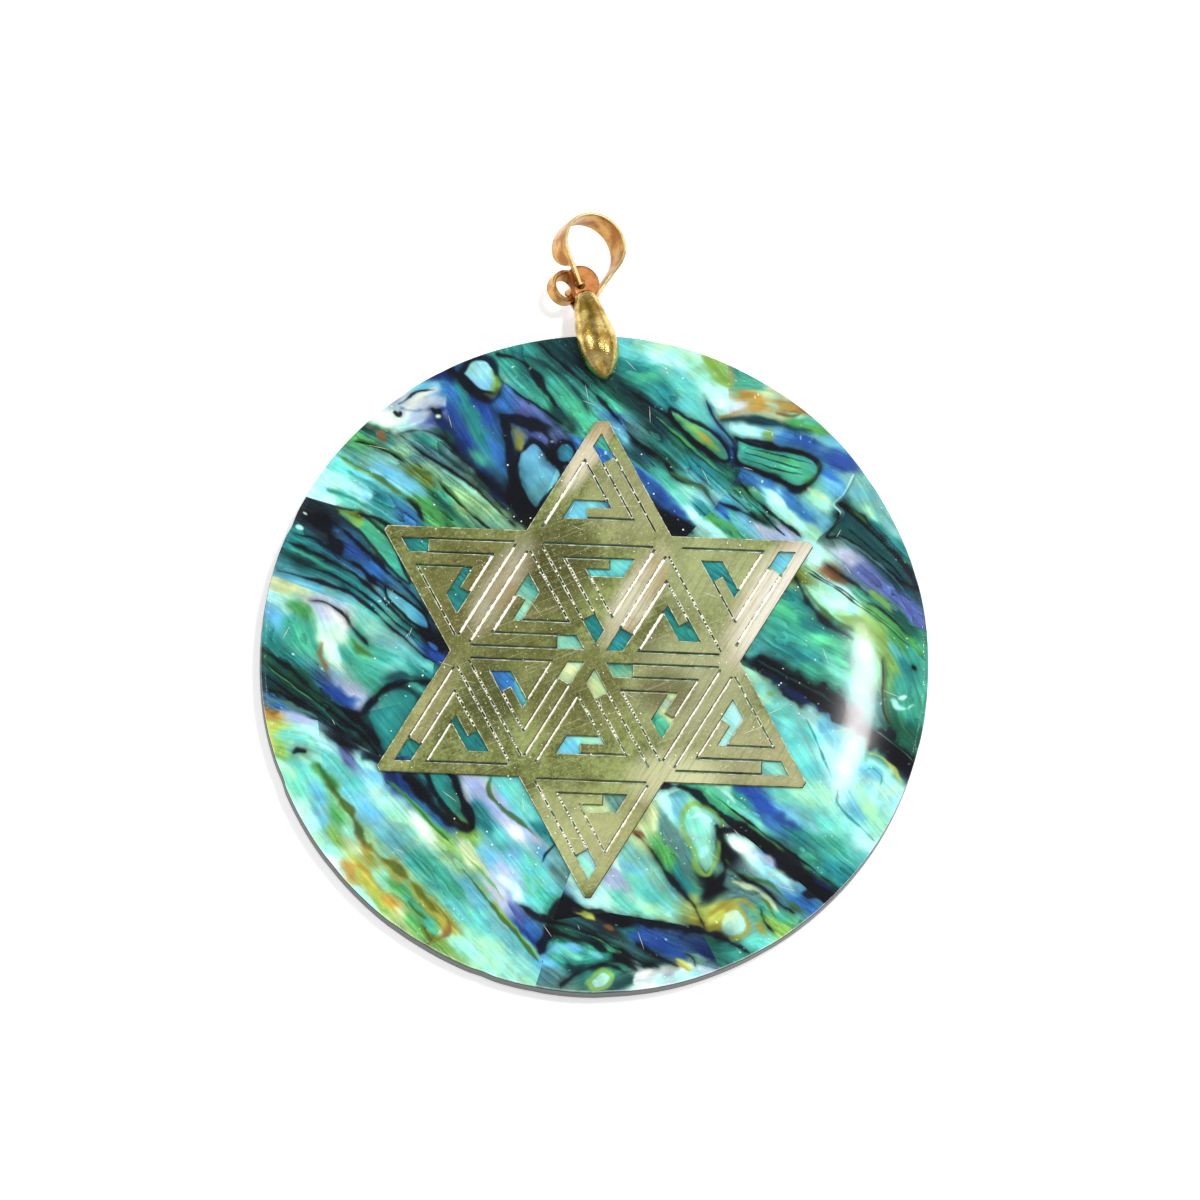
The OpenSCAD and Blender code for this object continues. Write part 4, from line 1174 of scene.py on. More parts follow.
def lattice_in(ring, pitch):
    """Points and quads of a shell piece: a quad of a square lattice that has a point inside stays, and its
    outer points move to the closest point of the piece's edge."""
    low, high = np.maximum(ring.min(0) - pitch, -DISC_R), np.minimum(ring.max(0) + pitch, DISC_R)
    nx, ny = np.ceil((high - low) / pitch).astype(int) + 1
    x, y = np.meshgrid(low[0] + pitch * np.arange(nx), low[1] + pitch * np.arange(ny), indexing="ij")
    field, near = shell_field(x, y, ring)
    inside = field < 0
    quads = grid_faces(nx, ny)
    quads = quads[inside.ravel()[quads].any(1)]
    place = np.stack([x, y], -1)
    place[~inside] = near[~inside]
    used, index = np.unique(quads, return_inverse=True)
    return place.reshape(-1, 2)[used], index.reshape(-1, 4)[:, ::-1]


def thicken(mesh, depth):
    """Pulls a wall down from the edge of a flat sheet and closes it below, with the faces outwards."""
    bm = bmesh.new()
    bm.from_mesh(mesh)
    bmesh.ops.dissolve_degenerate(bm, dist=1e-5, edges=bm.edges)
    bmesh.ops.recalc_face_normals(bm, faces=bm.faces)
    if sum(f.normal.z for f in list(bm.faces)[:50]) < 0:
        bmesh.ops.reverse_faces(bm, faces=bm.faces)
    edge = [e for e in bm.edges if e.is_boundary]
    wall = bmesh.ops.extrude_edge_only(bm, edges=edge)["geom"]
    lower = [v for v in wall if isinstance(v, bmesh.types.BMVert)]
    bmesh.ops.translate(bm, verts=lower, vec=(0, 0, -depth))
    rim = [e for e in wall if isinstance(e, bmesh.types.BMEdge) and e.is_boundary]
    bmesh.ops.edgeloop_fill(bm, edges=rim)
    bmesh.ops.recalc_face_normals(bm, faces=bm.faces)
    if bm.calc_volume(signed=True) < 0:
        bmesh.ops.reverse_faces(bm, faces=bm.faces)
    bm.to_mesh(mesh)
    bm.free()


def shell_piece(name, ring, pitch, grain):
    """A flat piece of shell, whose points keep their colour as linear light in the attribute "paint"."""
    flat, quads = lattice_in(ring, pitch)
    mesh = bpy.data.meshes.new(name)
    mesh.from_pydata(np.column_stack([flat, np.full(len(flat), SHELL_TOP)]).tolist(), [], quads.tolist())
    mesh.validate()
    thicken(mesh, SHELL_TOP - SHELL_LOW)
    p = np.empty(len(mesh.vertices) * 3)
    mesh.vertices.foreach_get("co", p)
    p = p.reshape(-1, 3)
    light = linear(shell_paint(p[:, 0], p[:, 1], ring, grain))
    layer = mesh.attributes.new("paint", "FLOAT_COLOR", "POINT")
    layer.data.foreach_set("color", np.column_stack([light, np.ones(len(p))]).ravel())
    mesh.vertices.foreach_set("co", laid(ground_edge(p)).ravel())
    return finished(mesh, "look_" + name, "pendant", [name], 60)


# The star


# Width of the bevel along the plate's sawn edges
SAWN_BEVEL = 0.02


def brass_star(colours):
    """The star plate: a copy of the CAD plate, its doubles merged, with fine bevels on its sawn edges."""
    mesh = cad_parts["star_plate"].data.copy()
    mesh.name = "look_star_plate"
    bm = bmesh.new()
    bm.from_mesh(mesh)
    bmesh.ops.remove_doubles(bm, verts=bm.verts, dist=2e-6)
    bmesh.ops.dissolve_limit(bm, angle_limit=math.radians(1), verts=bm.verts, edges=bm.edges)
    bm.to_mesh(mesh)
    bm.free()
    mesh.materials.clear()
    obj = finished(mesh, "look_star_plate", "pendant", ["star_plate"], 30)
    bevel = obj.modifiers.new("sawn_edge", "BEVEL")
    bevel.width = SAWN_BEVEL / MM
    bevel.segments = 2
    bevel.limit_method = "ANGLE"
    bevel.angle_limit = math.radians(40)
    obj.data.materials.append(brass_finish(colours))
    return obj


# A fret: its middle's distance from its sides' outer slits, the pitch of its strips, how far the long slits
# run past its middle, the gap at a corner, and where the two short slits end and start
FRET_R, STRIP_PITCH = 2.5, 1.03
SLIT_REACH, CORNER_GAP, SHORT_END, SHORT_START = 2.32, 0.3, -0.92, 2.37
# Distance of the outer and inner frets from the star's middle, and which of them have a slit at their base
OUTER_FRET_AT, INNER_FRET_AT = 11.97, 5.97
OUTER_BASE = (False, False, True, True, True, True)
INNER_BASE = (True, True, True, True, False, True)


def fret_slits(base_slit):
    """Middle lines of a fret's slits about its middle: they lie along n p = d, with n the normal of a side
    and d one of three distances, and end where two meet."""
    right_n, left_n = np.array((math.cos(math.pi / 6), 0.5)), np.array((-math.cos(math.pi / 6), 0.5))
    base_n = np.array((0, -1))
    line_1, line_2, line_3 = (FRET_R - k * STRIP_PITCH for k in range(3))

    def meet(n1, d1, n2, d2):
        """The point p where n1 p = d1 and n2 p = d2."""
        return np.linalg.solve(np.array([n1, n2]), np.array([d1, d2]))

    down = np.array([0.5, -math.sqrt(0.75)])
    low_right, low_left = meet(right_n, line_1, base_n, line_1), meet(left_n, line_1, base_n, line_1)
    apex, corner = meet(right_n, line_3, left_n, line_1), meet(right_n, line_2, base_n, line_2)
    slits = [(line_1 * right_n - SLIT_REACH * down, low_right - CORNER_GAP * down),
             (line_2 * right_n - SLIT_REACH * down, corner),
             (corner, np.array([SHORT_END, -line_2])),
             (meet(right_n, line_3, base_n, FRET_R - SHORT_START), apex),
             (apex, low_left + CORNER_GAP * unit(apex - low_left))]
    if base_slit:
        slits.append((low_left + (CORNER_GAP, 0), low_right - (CORNER_GAP, 0)))
    return slits


def star_slits():
    """Middle lines of all slits on the disc, with the ring (0 outer, 1 inner) and number of their fret. Fret
    i stands at 30 + 60 i degrees, and is turned by that and a quarter turn."""
    rings = (OUTER_FRET_AT, -90, OUTER_BASE), (INNER_FRET_AT, 90, INNER_BASE)
    for ring, (reach, spin, base) in enumerate(rings):
        for i in range(6):
            a, b = math.radians(30 + 60 * i), math.radians(30 + 60 * i + spin)
            turn = np.array([[math.cos(b), math.sin(b)], [-math.sin(b), math.cos(b)]])
            middle = np.array([reach * math.cos(a), reach * math.sin(a) + STAR_UP])
            for p, q in fret_slits(base[i]):
                yield ring, i, p @ turn + middle, q @ turn + middle


def bead(shape, at, r, squash=0.7):
    """A small bubble of 4 rings of 6 points: r (sin t cos a, sin t sin a, squash cos t) about its place."""
    a = circle(6)
    t = np.linspace(0, math.pi, 6)[1:-1]
    rings = np.stack([np.outer(np.sin(t), np.cos(a)), np.outer(np.sin(t), np.sin(a)),
                      np.outer(np.cos(t), np.ones(6)) * squash], -1) * r + at
    shape.tube(rings)


# The way to the light on the plate's edges, left and up, and the least part of it that a bright edge faces
EDGE_LIGHT, EDGE_TURNS_DARK = np.array([-0.45, 0.89]), -0.35


def lit_and_shaded_edges(plate):
    """Bars along the plate's upper edges: painted highlights of radius 0.018 + 0.05 u^2 with u at random,
    and painted shade where the edge faces away from the light."""
    bm = bmesh.new()
    bm.from_mesh(plate.data)
    rows = []
    for e in bm.edges:
        if len(e.link_faces) == 2 and e.calc_face_angle(0) > 1:
            wall, top = sorted(e.link_faces, key=lambda f: f.normal.z)
            if top.normal.z > 0.9:
                rows.append([*(v.co[:] for v in e.verts), wall.normal[:]])
    bm.free()
    rows = np.array(rows)
    rng = np.random.default_rng(11)
    painted_highlight, dark = Shape(), Shape()
    for (a, b), out in zip(on_disc(rows[:, :2]), rows[:, 2]):
        n = max(3, int(np.linalg.norm(b - a) / 0.2) + 2)
        path = a + (b - a) * np.linspace(0, 1, n)[:, None]
        # Edges that face the light get bars of painted highlight, the others bars of painted shade
        if out[:2] @ EDGE_LIGHT > EDGE_TURNS_DARK:
            painted_highlight.tube(sweep(path - 0.035 * out, 0.018 + 0.05 * rng.uniform(0, 1, n) ** 2, 4))
        else:
            dark.tube(sweep(path - 0.03 * out, 0.03 + 0.02 * rng.uniform(0, 1, n), 4))
    # The bright edge bars are painted highlight and the dark edge bars are painted shade
    for shape, name, finish in ((painted_highlight, "painted_highlight", edge_highlight_finish()), (dark, "dark", edge_shade_finish())):
        obj = shape.piece("look_%s_star_edges" % name, "pendant", "star", (), 180)
        obj.data.materials.append(finish)


# Air in the slits: length of a bar, gap at a slit's ends, and a bar's radius and its wandering in the star's
# upper part and below
BAR_LENGTH, BAR_GAP = 4.2, 0.12
UPPER_BAR, LOWER_BAR = (0.11, 0.35), (0.062, 0.6)


def air_bars(shape, rng, p, q, way, length):
    """Bars of air along a slit from p to q, at p + s way for s from a to b: air in the slit, drawn pale as a
    painted glint.
    """
    pieces = max(1, int(length / BAR_LENGTH))
    wide, uneven = UPPER_BAR if p[1] + q[1] > 2 * STAR_UP + 3 else LOWER_BAR
    for k in range(pieces):
        a = BAR_GAP + (length - 2 * BAR_GAP) * k / pieces + rng.uniform(0, 0.12)
        b = BAR_GAP + (length - 2 * BAR_GAP) * (k + 1) / pieces - rng.uniform(0.02, 0.2)
        if b - a < 0.4:
            continue
        n = max(9, int((b - a) / 0.12))
        path = np.linspace(a, b, n)[:, None] * way + p
        path = np.column_stack([path, np.full(n, STAR_TOP - 0.01)])
        width = wide * (1 + uneven * rng.uniform(-1, 1, n) * rng.uniform(0.5, 1))
        shape.tube(rounded_ends(sweep(path, width, 8), 0.05, 2))


def air_beads(shape, rng, p, way, length, spread):
    """Beads of air along a slit, at uneven steps that grow with spread."""
    at = rng.uniform(0.1, 0.4)
    while at < length - 0.1:
        spot = p + way * at + rng.normal(0, 0.012, 2)
        bead(shape, (*spot, STAR_TOP - 0.015), rng.uniform(0.05, 0.1))
        at += spread * rng.choice([0.16, 0.2, 0.26, 0.34, 0.6])


def scratches(shape, rng, count):
    """Short scratches just under the cover's face, most of them running down to the right."""
    for _ in range(count):
        a, r, turn = rng.uniform(0, 2 * math.pi), 23.5 * math.sqrt(rng.uniform(0, 1)), rng.normal(-0.7, 0.7)
        half = rng.uniform(0.3, 1.6) / 2 * np.array([math.cos(turn), math.sin(turn), 0])
        middle = np.array([r * math.cos(a), r * math.sin(a), dome_z(r) - 0.05])
        shape.tube(sweep(middle + np.linspace(-1, 1, 3)[:, None] * half, np.array([0.006, 0.016, 0.006]), 4))


def air_in_slits():
    """Air left in the cover: bars in the slits that run up to the right, beads in those that run down to the
    right, closer in the inner frets and two outer ones, and above, loose beads as painted glints and
    scratches."""
    rng = np.random.default_rng(7)
    shape = Shape()
    for ring, i, p, q in star_slits():
        way = unit(q - p)
        slope = math.degrees(math.atan2(way[1], way[0])) % 180
        length = np.linalg.norm(q - p)
        if abs(slope - 60) < 5:
            air_bars(shape, rng, p, q, way, length)
        elif abs(slope - 120) < 5:
            air_beads(shape, rng, p, way, length, 1 if i in (3, 4) or ring == 1 else 3.2)
    scratches(shape, rng, 60)
    # Loose beads over the star: small white dots as painted glints
    for _ in range(150):
        a, r = rng.uniform(0, 2 * math.pi), 17 * math.sqrt(rng.uniform(0, 1))
        place = (r * math.cos(a), r * math.sin(a) + STAR_UP, STAR_TOP + rng.uniform(0.02, 0.3))
        bead(shape, place, rng.uniform(0.03, 0.08))
    obj = shape.piece("look_air_in_slits", "pendant", "cover", (), 180)
    obj.data.materials.append(air_glow_finish())


# The bail

# The pin's middle on the disc, and its lean to the right and turn
PIN_AT = np.array([-2.12, 28.68, 2.75])
PIN_LEAN, PIN_TURN = math.radians(24.5), math.radians(23)
# The ribbon, across the pin: the loop's middle and outer radius, the ribbon's thickness, and its two ends.
# Along the pin its near edge is at LOOP_NEAR.
LOOP_AT, LOOP_R, RIBBON_T = np.array([1.12, 3.2]), 2.6, 0.32
LOOP_NEAR = 0.85
LEFT_END, RIGHT_END = np.array([-0.32, -0.28]), np.array([1.7, -0.8])
WIRE_R = 0.23
RIBBON_AROUND = 40


def pin_axes():
    """Right, up and along directions at the pin: the disc's axes leaned to the right by the lean and turned,
    with along = (sin lean cos turn, sin lean sin turn, cos lean) and up square to it and to right."""
    c, s = math.cos(PIN_LEAN), math.sin(PIN_LEAN)
    cp, sp = math.cos(PIN_TURN), math.sin(PIN_TURN)
    right = np.array([c * cp * cp + sp * sp, (c - 1) * sp * cp, -s * cp])
    along = np.array([s * cp, s * sp, c])
    return np.array([right, np.cross(along, right), along])


def on_pin(p):
    """Points given right, up and along the pin, on the disc: PIN_AT + x right + y up + z along."""
    return PIN_AT + np.asarray(p, float) @ pin_axes()


def table_curve(table, at):
    """Smooth values from a short table of (place, value) rows. Between two rows h apart it is the cubic
    (2t^3 - 3t^2 + 1) y0 + (t^3 - 2t^2 + t) h m0 + (3t^2 - 2t^3) y1 + (t^3 - t^2) h m1, with slopes m."""
    table = np.asarray(table, float)
    x, y = table[:, 0], table[:, 1]
    m = np.gradient(y, x)
    k = np.clip(np.searchsorted(x, at) - 1, 0, len(x) - 2)
    h = x[k + 1] - x[k]
    t = np.clip((at - x[k]) / h, 0, 1)
    return ((2 * t**3 - 3 * t**2 + 1) * y[k] + (t**3 - 2 * t**2 + t) * h * m[k]
            + (3 * t**2 - 2 * t**3) * y[k + 1] + (t**3 - t**2) * h * m[k + 1])


# A leaf: its radius at distances from its neck, its length, its gap over the cover, and each neck and tip
LEAF_HALF_WIDTH = ((0, 0.25), (0.15, 0.56), (0.6, 0.83), (1.2, 1.02), (1.8, 1.15), (2.5, 1.3), (3.2, 1.43),
                   (3.8, 1.5), (4.4, 1.52), (5.0, 1.47), (5.6, 1.3), (6.15, 1.04), (6.6, 0.72), (6.9, 0.42),
                   (7.05, 0.08))
LEAF_LENGTH = LEAF_HALF_WIDTH[-1][0]
LEAF_CLEAR = 0.09
FRONT_LEAF = (-1.72, 28.2, 3.0), (0.2, 21.4, 3.5)
BACK_LEAF = (-1.5, 28.0, 0.75), (0.4, 21.6, 0.35)
# The front eye: radius and half width, shift of its outside from the bore, and the flat cut on it
EYE_R, EYE_HALF = 1.1, 0.3
EYE_SHIFT = np.array([0.35, 0.22, 0.0])
FLAT_TURN, FLAT_AT = math.radians(196), 0.54
# The back eye: its shift from the pin's middle, and its section as (radius, place along the pin)
BACK_EYE_AT = np.array([-0.6, 0.09, -1.06])
BACK_EYE = ((0.72, -0.53), (0.8, -0.575), (1.2, -0.57), (1.26, -0.5), (1.27, 0), (1.26, 0.5), (1.2, 0.565),
            (1.1, 0.575), (1.0, 0.55), (0.93, 0.3), (0.8, -0.2))


def seed_rings(neck, tip, stations=90, around=72):
    """Rings of a leaf: at s from neck to tip, the circle neck + s along + r (cos a side + sin a up), with r
    read from the width table."""
    neck, tip = np.asarray(neck, float), np.asarray(tip, float)
    along = unit(tip - neck)
    side = unit(np.cross(along, [0, 0, 1]))
    up = np.cross(side, along)
    s = np.linspace(0, 1, stations) * LEAF_LENGTH
    r = table_curve(LEAF_HALF_WIDTH, s)[:, None, None]
    a = circle(around)[None, :, None]
    return neck + s[:, None, None] * along + r * (np.cos(a) * side + np.sin(a) * up)


def front_leaf_shape():
    """The front leaf: a seed form kept LEAF_CLEAR above the cover, a peg, and an eye: the section (EYE_R +
    EYE_HALF cos k, EYE_HALF sin k) turned about the pin, its outside shifted and cut flat."""
    rings = seed_rings(*FRONT_LEAF)
    r = np.hypot(rings[..., 0], rings[..., 1])
    floor = np.where(r < DISC_R + 0.06, dome_z(np.minimum(r, DISC_R)) + LEAF_CLEAR, 2.3)
    rings[..., 2] = np.maximum(rings[..., 2], floor)
    shape = Shape().tube(rings)
    a = np.linspace(-math.pi / 2, math.pi / 2, 13)
    outer = [(EYE_R + EYE_HALF * math.cos(k), EYE_HALF * math.sin(k)) for k in a]
    bore = [(EYE_BORE + 0.05, -EYE_HALF), (EYE_BORE, -0.25), (EYE_BORE, 0.25), (EYE_BORE + 0.05, EYE_HALF)]
    eye = lathe(bore + outer[::-1], 72)
    eye[len(bore):] += EYE_SHIFT
    flat = np.array([math.cos(FLAT_TURN), math.sin(FLAT_TURN), 0])
    over = np.maximum(eye @ flat - FLAT_AT, 0)
    shape.ring(on_pin(eye - over[..., None] * flat))
    peg = [(0.001, 1.0), (PEG_R - 0.04, 1.0), (PEG_R, 1.05), (PEG_R, 3.9), (0.001, 3.9)]
    return shape.tube(lathe(peg, 24, (0, HOLE_AT, 0)))


def back_leaf_shape():
    """The back leaf: the same seed form kept below the disc, a funnel-shaped eye, a stem and a peg."""
    rings = seed_rings(*BACK_LEAF)
    r = np.hypot(rings[..., 0], rings[..., 1])
    roof = np.where(r < DISC_R + 0.06, -0.06, 1.25)
    rings[..., 2] = np.minimum(rings[..., 2], roof)
    rings[..., 1] = np.minimum(rings[..., 1], 27.2)
    shape = Shape().tube(rings)
    shape.ring(on_pin(lathe(BACK_EYE, 72) + BACK_EYE_AT))
    stem = smooth_path([(-2.35, 27.7, 1.8), (-1.8, 27.1, 1.2), (-1.2, 26.4, 0.5)], 8)
    shape.tube(sweep(stem, PEG_R))
    peg = [(0.001, -0.6), (PEG_R, -0.6), (PEG_R, 0.85), (PEG_R - 0.04, 0.9), (0.001, 0.9)]
    return shape.tube(lathe(peg, 24, (0, HOLE_AT, 0)))


def ribbon_path():
    """The ribbon's middle line across the pin: from its left end along the tangent to the loop's circle,
    round it, and along the tangent to its right end."""
    mid_r = LOOP_R - RIBBON_T / 2

    def touch(p, side):
        """Angle where a tangent from p touches the circle: that of p, and acos(r / d) to a side."""
        v = p - LOOP_AT
        return math.atan2(v[1], v[0]) + side * math.acos(mid_r / np.linalg.norm(v))

    left, right = touch(LEFT_END, -1), touch(RIGHT_END, 1)
    to_left = LEFT_END - RIBBON_T / 2 * np.array([math.cos(left), math.sin(left)])
    to_right = RIGHT_END - RIBBON_T / 2 * np.array([math.cos(right), math.sin(right)])
    arc = np.linspace(left % (2 * math.pi), right, 120)[:, None]
    round_part = LOOP_AT + mid_r * np.concatenate([np.cos(arc), np.sin(arc)], 1)
    first = to_left + (round_part[0] - to_left) * np.linspace(0, 1, 40, endpoint=False)[:, None]
    last = round_part[-1] + (to_right - round_part[-1]) * np.linspace(0, 1, 41)[1:, None]
    return np.concatenate([first, round_part, last])


def ribbon_edges(path, width):
    """Places of the ribbon's near and far edges along the pin. Towards the left end the far edge comes in,
    and towards the right end both do."""
    v, on_left = path[:, 1], path[:, 0] < 0.9
    low, high = LOOP_NEAR - width, LOOP_NEAR
    right_near = np.interp(v, (-0.5, 0.6, 1.5, 2.4, 3.1), (-0.5, -0.5, -0.1, 0.55, high))
    left_far = np.interp(v, (1.3, 1.42, 1.6, 1.8, 2.05, 2.35, 2.7),
                         (0.44, 0.1, -0.45, -0.85, -1.2, -1.45, low))
    right_far = np.interp(v, (-0.2, 0.8), (-1.2, low))
    return np.where(on_left, high, right_near), np.where(on_left, left_far, right_far)


def loop_shape(ribbon_width):
    """The ribbon loop: a rounded oblong, half the width times |cos a|^0.35 along the pin by half the
    thickness times |sin a|^0.5 across it, carried along its path, then a wire that ends as the pin."""
    path = ribbon_path()
    tangent = np.gradient(path, axis=0)
    tangent /= np.linalg.norm(tangent, axis=1)[:, None]
    normal = np.stack([tangent[:, 1], -tangent[:, 0]], -1)
    near_edge, far_edge = ribbon_edges(path, ribbon_width)
    half, middle = (near_edge - far_edge) / 2, (near_edge + far_edge) / 2
    a = circle(RIBBON_AROUND)
    along = np.sign(np.cos(a)) * np.abs(np.cos(a)) ** 0.35
    across = np.sign(np.sin(a)) * np.abs(np.sin(a)) ** 0.5
    rings = np.empty((len(path), len(a), 3))
    rings[..., :2] = path[:, None] + (across * RIBBON_T / 2)[None, :, None] * normal[:, None]
    rings[..., 2] = middle[:, None] + half[:, None] * along[None]
    shape = Shape().tube(on_pin(rings))
    tail = RIGHT_END + (-0.15, 0.1)
    wire = smooth_path([(*tail, -0.7), (*tail, -1.5), (tail[0] * 0.9, tail[1] * 0.9, -1.93),
                        (tail[0] * 0.4, tail[1] * 0.4, -1.95), (0.05, 0, -1.9), (0, 0, -1.4), (0, 0, 0.0),
                        (0, 0, 0.72)], 10)
    return shape.tube(rounded_ends(sweep(on_pin(wire), WIRE_R), 0.08))


# Disc and cover


def bored(obj):
    """Cuts the peg hole through a piece with a round cutter, which is deleted again."""
    cutter_shape = Shape().tube(lathe([(HOLE_R, -1), (HOLE_R, 5)], 64, (0, HOLE_AT, 0)))
    mesh = bpy.data.meshes.new("cutter")
    mesh.from_pydata(laid(np.concatenate(cutter_shape.points)).tolist(), [], cutter_shape.faces)
    cutter = in_scene("cutter", mesh)
    cut = obj.modifiers.new("peg_hole", "BOOLEAN")
    cut.operation, cut.object, cut.solver = "DIFFERENCE", cutter, "EXACT"
    bpy.context.view_layer.update()
    done = bpy.data.meshes.new_from_object(obj.evaluated_get(bpy.context.evaluated_depsgraph_get()))
    if len(done.polygons) == len(obj.data.polygons):
        raise RuntimeError("no peg hole was cut in " + obj.name)
    obj.modifiers.clear()
    obj.data = done
    bpy.data.objects.remove(cutter)


# Points around the disc's rim
RIM_AROUND = 400


def ground_edge(p):
    """The disc's points with the rim ground uneven: at angle a it loses 0.05 + 0.05 n(a) + 0.11 max(0,
    m(a))^2 with n a slow and m a quick noise, and the loss fades to nothing 2.5 mm further in."""
    p = np.array(p, float)
    r = np.maximum(np.hypot(p[..., 0], p[..., 1]), 1e-6)
    across, up = p[..., 0] / r, p[..., 1] / r
    loss = 0.05 + 0.05 * value_noise(4 * across, 4 * up, 101)
    loss += 0.11 * np.maximum(0, value_noise(13 * across, 13 * up, 103)) ** 2
    p[..., :2] *= (1 - loss * step(DISC_R - 2.5, DISC_R, r) / r)[..., None]
    return p


def build_backing(colours):
    """The backing: a flat disc 2 mm thick, with its lower edge rounded by 0.25 mm."""
    a = np.linspace(0, math.pi / 2, 7)
    profile = [(r, 0) for r in (8, 16, 22)]
    profile += [(DISC_R - 0.25 + 0.25 * math.sin(k), 0.25 - 0.25 * math.cos(k)) for k in a]
    profile += [(DISC_R, 1.0), (DISC_R, 1.9), (DISC_R - 0.1, 2.0), (22, 2.0), (12, 2.0)]
    shape = Shape().tube(ground_edge(lathe(profile, RIM_AROUND)))
    obj = shape.piece("look_backing", "pendant", "backing", ["backing"])
    obj.data.materials.append(backing_finish(colours))
    bored(obj)


def build_cover():
    """The clear cover: flat below and domed above by dome_z, with its upper edge softened by 0.06 mm."""
    r = np.linspace(1, 0, 40)[:-1, None] ** 0.7 * (DISC_R - 0.02)
    top = np.concatenate([r, dome_z(r)], 1)
    top[0, 1] -= 0.06
    profile = [(12, STAR_LOW), (DISC_R, STAR_LOW), (DISC_R, dome_z(DISC_R) - 0.12)] + top.tolist()
    shape = Shape().tube(ground_edge(lathe(profile, RIM_AROUND)))
    obj = shape.piece("look_clear_cover", "pendant", "cover", ["clear_cover"], 60)
    obj.data.materials.append(clear_finish())
    bored(obj)


# Operators


class PENDANT_OT_mosaic(Operator):
    """Make the sixteen pieces of the shell mosaic"""

    bl_idname = "pendant.mosaic"
    bl_label = "Shell mosaic"

    def execute(self, context):
        pitch = in_mm(context.scene.pendant_sizes.shell_pitch)
        material = shell_finish()
        grain = GrainTable()
        for name, ring in SHELL_PIECES.items():
            shell_piece(name, CORNER[list(ring)], pitch, grain).data.materials.append(material)
        return {"FINISHED"}


class PENDANT_OT_disc(Operator):
    """Make the dark backing and the clear cover"""

    bl_idname = "pendant.disc"
    bl_label = "Backing and cover"

    def execute(self, context):
        build_backing(context.scene.pendant_colours)
        build_cover()
        return {"FINISHED"}


class PENDANT_OT_star(Operator):
    """Make the pierced brass star"""

    bl_idname = "pendant.star"
    bl_label = "Brass star"

    def execute(self, context):
        lit_and_shaded_edges(brass_star(context.scene.pendant_colours))
        air_in_slits()
        return {"FINISHED"}


class PENDANT_OT_bail(Operator):
    """Make the pinch bail: two leaves and the ribbon loop"""

    bl_idname = "pendant.bail"
    bl_label = "Pinch bail"

    def execute(self, context):
        colours = context.scene.pendant_colours
        gold = gold_finish("leaf_gold", colours.gold, srgb(158, 126, 52), 0.08, 0.35)
        copper = gold_finish("ribbon_gold", colours.copper, srgb(156, 102, 46), 0.2, 0.2)
        edge = gold_finish("pale_gold_edge", srgb(240, 222, 168), srgb(222, 196, 132), 0.2, 0.1)
        eye = gold_finish("eye_gold", srgb(208, 142, 86), srgb(172, 108, 58), 0.3, 0.3)
        shape = front_leaf_shape()
        front = shape.piece("look_front_leaf", "pendant", "bail", ["front_leaf"])
        # The leaf and the peg are gold, and the eye between them is copper-coloured
        front.data.polygons.foreach_set("material_index", np.repeat((0, 1, 0), shape.sizes).astype(np.int32))
        back = back_leaf_shape().piece("look_back_leaf", "pendant", "bail", ["back_leaf"])
        shape = loop_shape(in_mm(context.scene.pendant_sizes.ribbon_width))
        loop = shape.piece("look_bail_loop", "bail", "bail", ["bail_loop"])
        # Painted highlight: the ribbon's two edges are paler, the faces near the ends of each half turn of
        # its section
        k = np.arange(sum(shape.sizes))
        half_turn = RIBBON_AROUND // 2
        highlight_faces = (k < shape.sizes[0] - 2) & (np.abs(k % half_turn - (half_turn - 1) / 2) > 6)
        loop.data.polygons.foreach_set("material_index", highlight_faces.astype(np.int32))
        for obj, finishes in ((front, (gold, eye)), (back, (copper,)), (loop, (copper, edge))):
            for finish in finishes:
                obj.data.materials.append(finish)
        return {"FINISHED"}


# The photo's camera: its lean to the left and to the near edge in degrees, distance, roll and sensor, the
# height it looks at, and in the photo the size of a pixel, the disc's middle and the photo's side
CAMERA_FROM = (2.5, 12.0)
CAMERA_DISTANCE = 2400.0
CAMERA_ROLL = math.radians(1.75)
MM_PER_PIXEL = 0.0745
DISC_PIXEL = (595.0, 662.6)
FRAME_PIXELS = 1200
SENSOR = 36
FACE_Z = 2.6


def placed(axes, place):
    """The matrix that stands an object at a place with its own x, y and z along three axes."""
    return Matrix([[*(axis[k] for axis in axes), place[k]] for k in range(3)] + [[0, 0, 0, 1]])


def add_camera():
    """A long lens that looks down on the face and takes in FRAME_PIXELS MM_PER_PIXEL millimetres. It is
    aimed off the disc's middle as far as that lies off the photo's."""
    lean_x, lean_y = (math.sin(math.radians(a)) for a in CAMERA_FROM)
    d = np.array([-lean_x, -lean_y, math.sqrt(1 - lean_x**2 - lean_y**2)])
    up = unit(np.array([0, 1, 0]) - d * d[1])
    right = np.cross(up, d)
    c, s = math.cos(CAMERA_ROLL), math.sin(CAMERA_ROLL)
    right, up = right * c + up * s, up * c - right * s
    off = (FRAME_PIXELS / 2 - np.array(DISC_PIXEL)) * MM_PER_PIXEL
    target = np.array([0, 0, FACE_Z]) + right * off[0] - up * off[1]
    turn = (laid(np.eye(3)) - laid(np.zeros(3))) * MM
    data = bpy.data.cameras.new("photo_camera")
    data.sensor_width = SENSOR
    data.lens = SENSOR * CAMERA_DISTANCE / (FRAME_PIXELS * MM_PER_PIXEL)
    data.clip_start, data.clip_end = 0.01, 20
    camera = in_scene("photo_camera", data)
    axes = [unit(v @ turn) for v in (right, up, d)]
    camera.matrix_world = placed(axes, laid(target + d * CAMERA_DISTANCE))
    bpy.context.scene.camera = camera


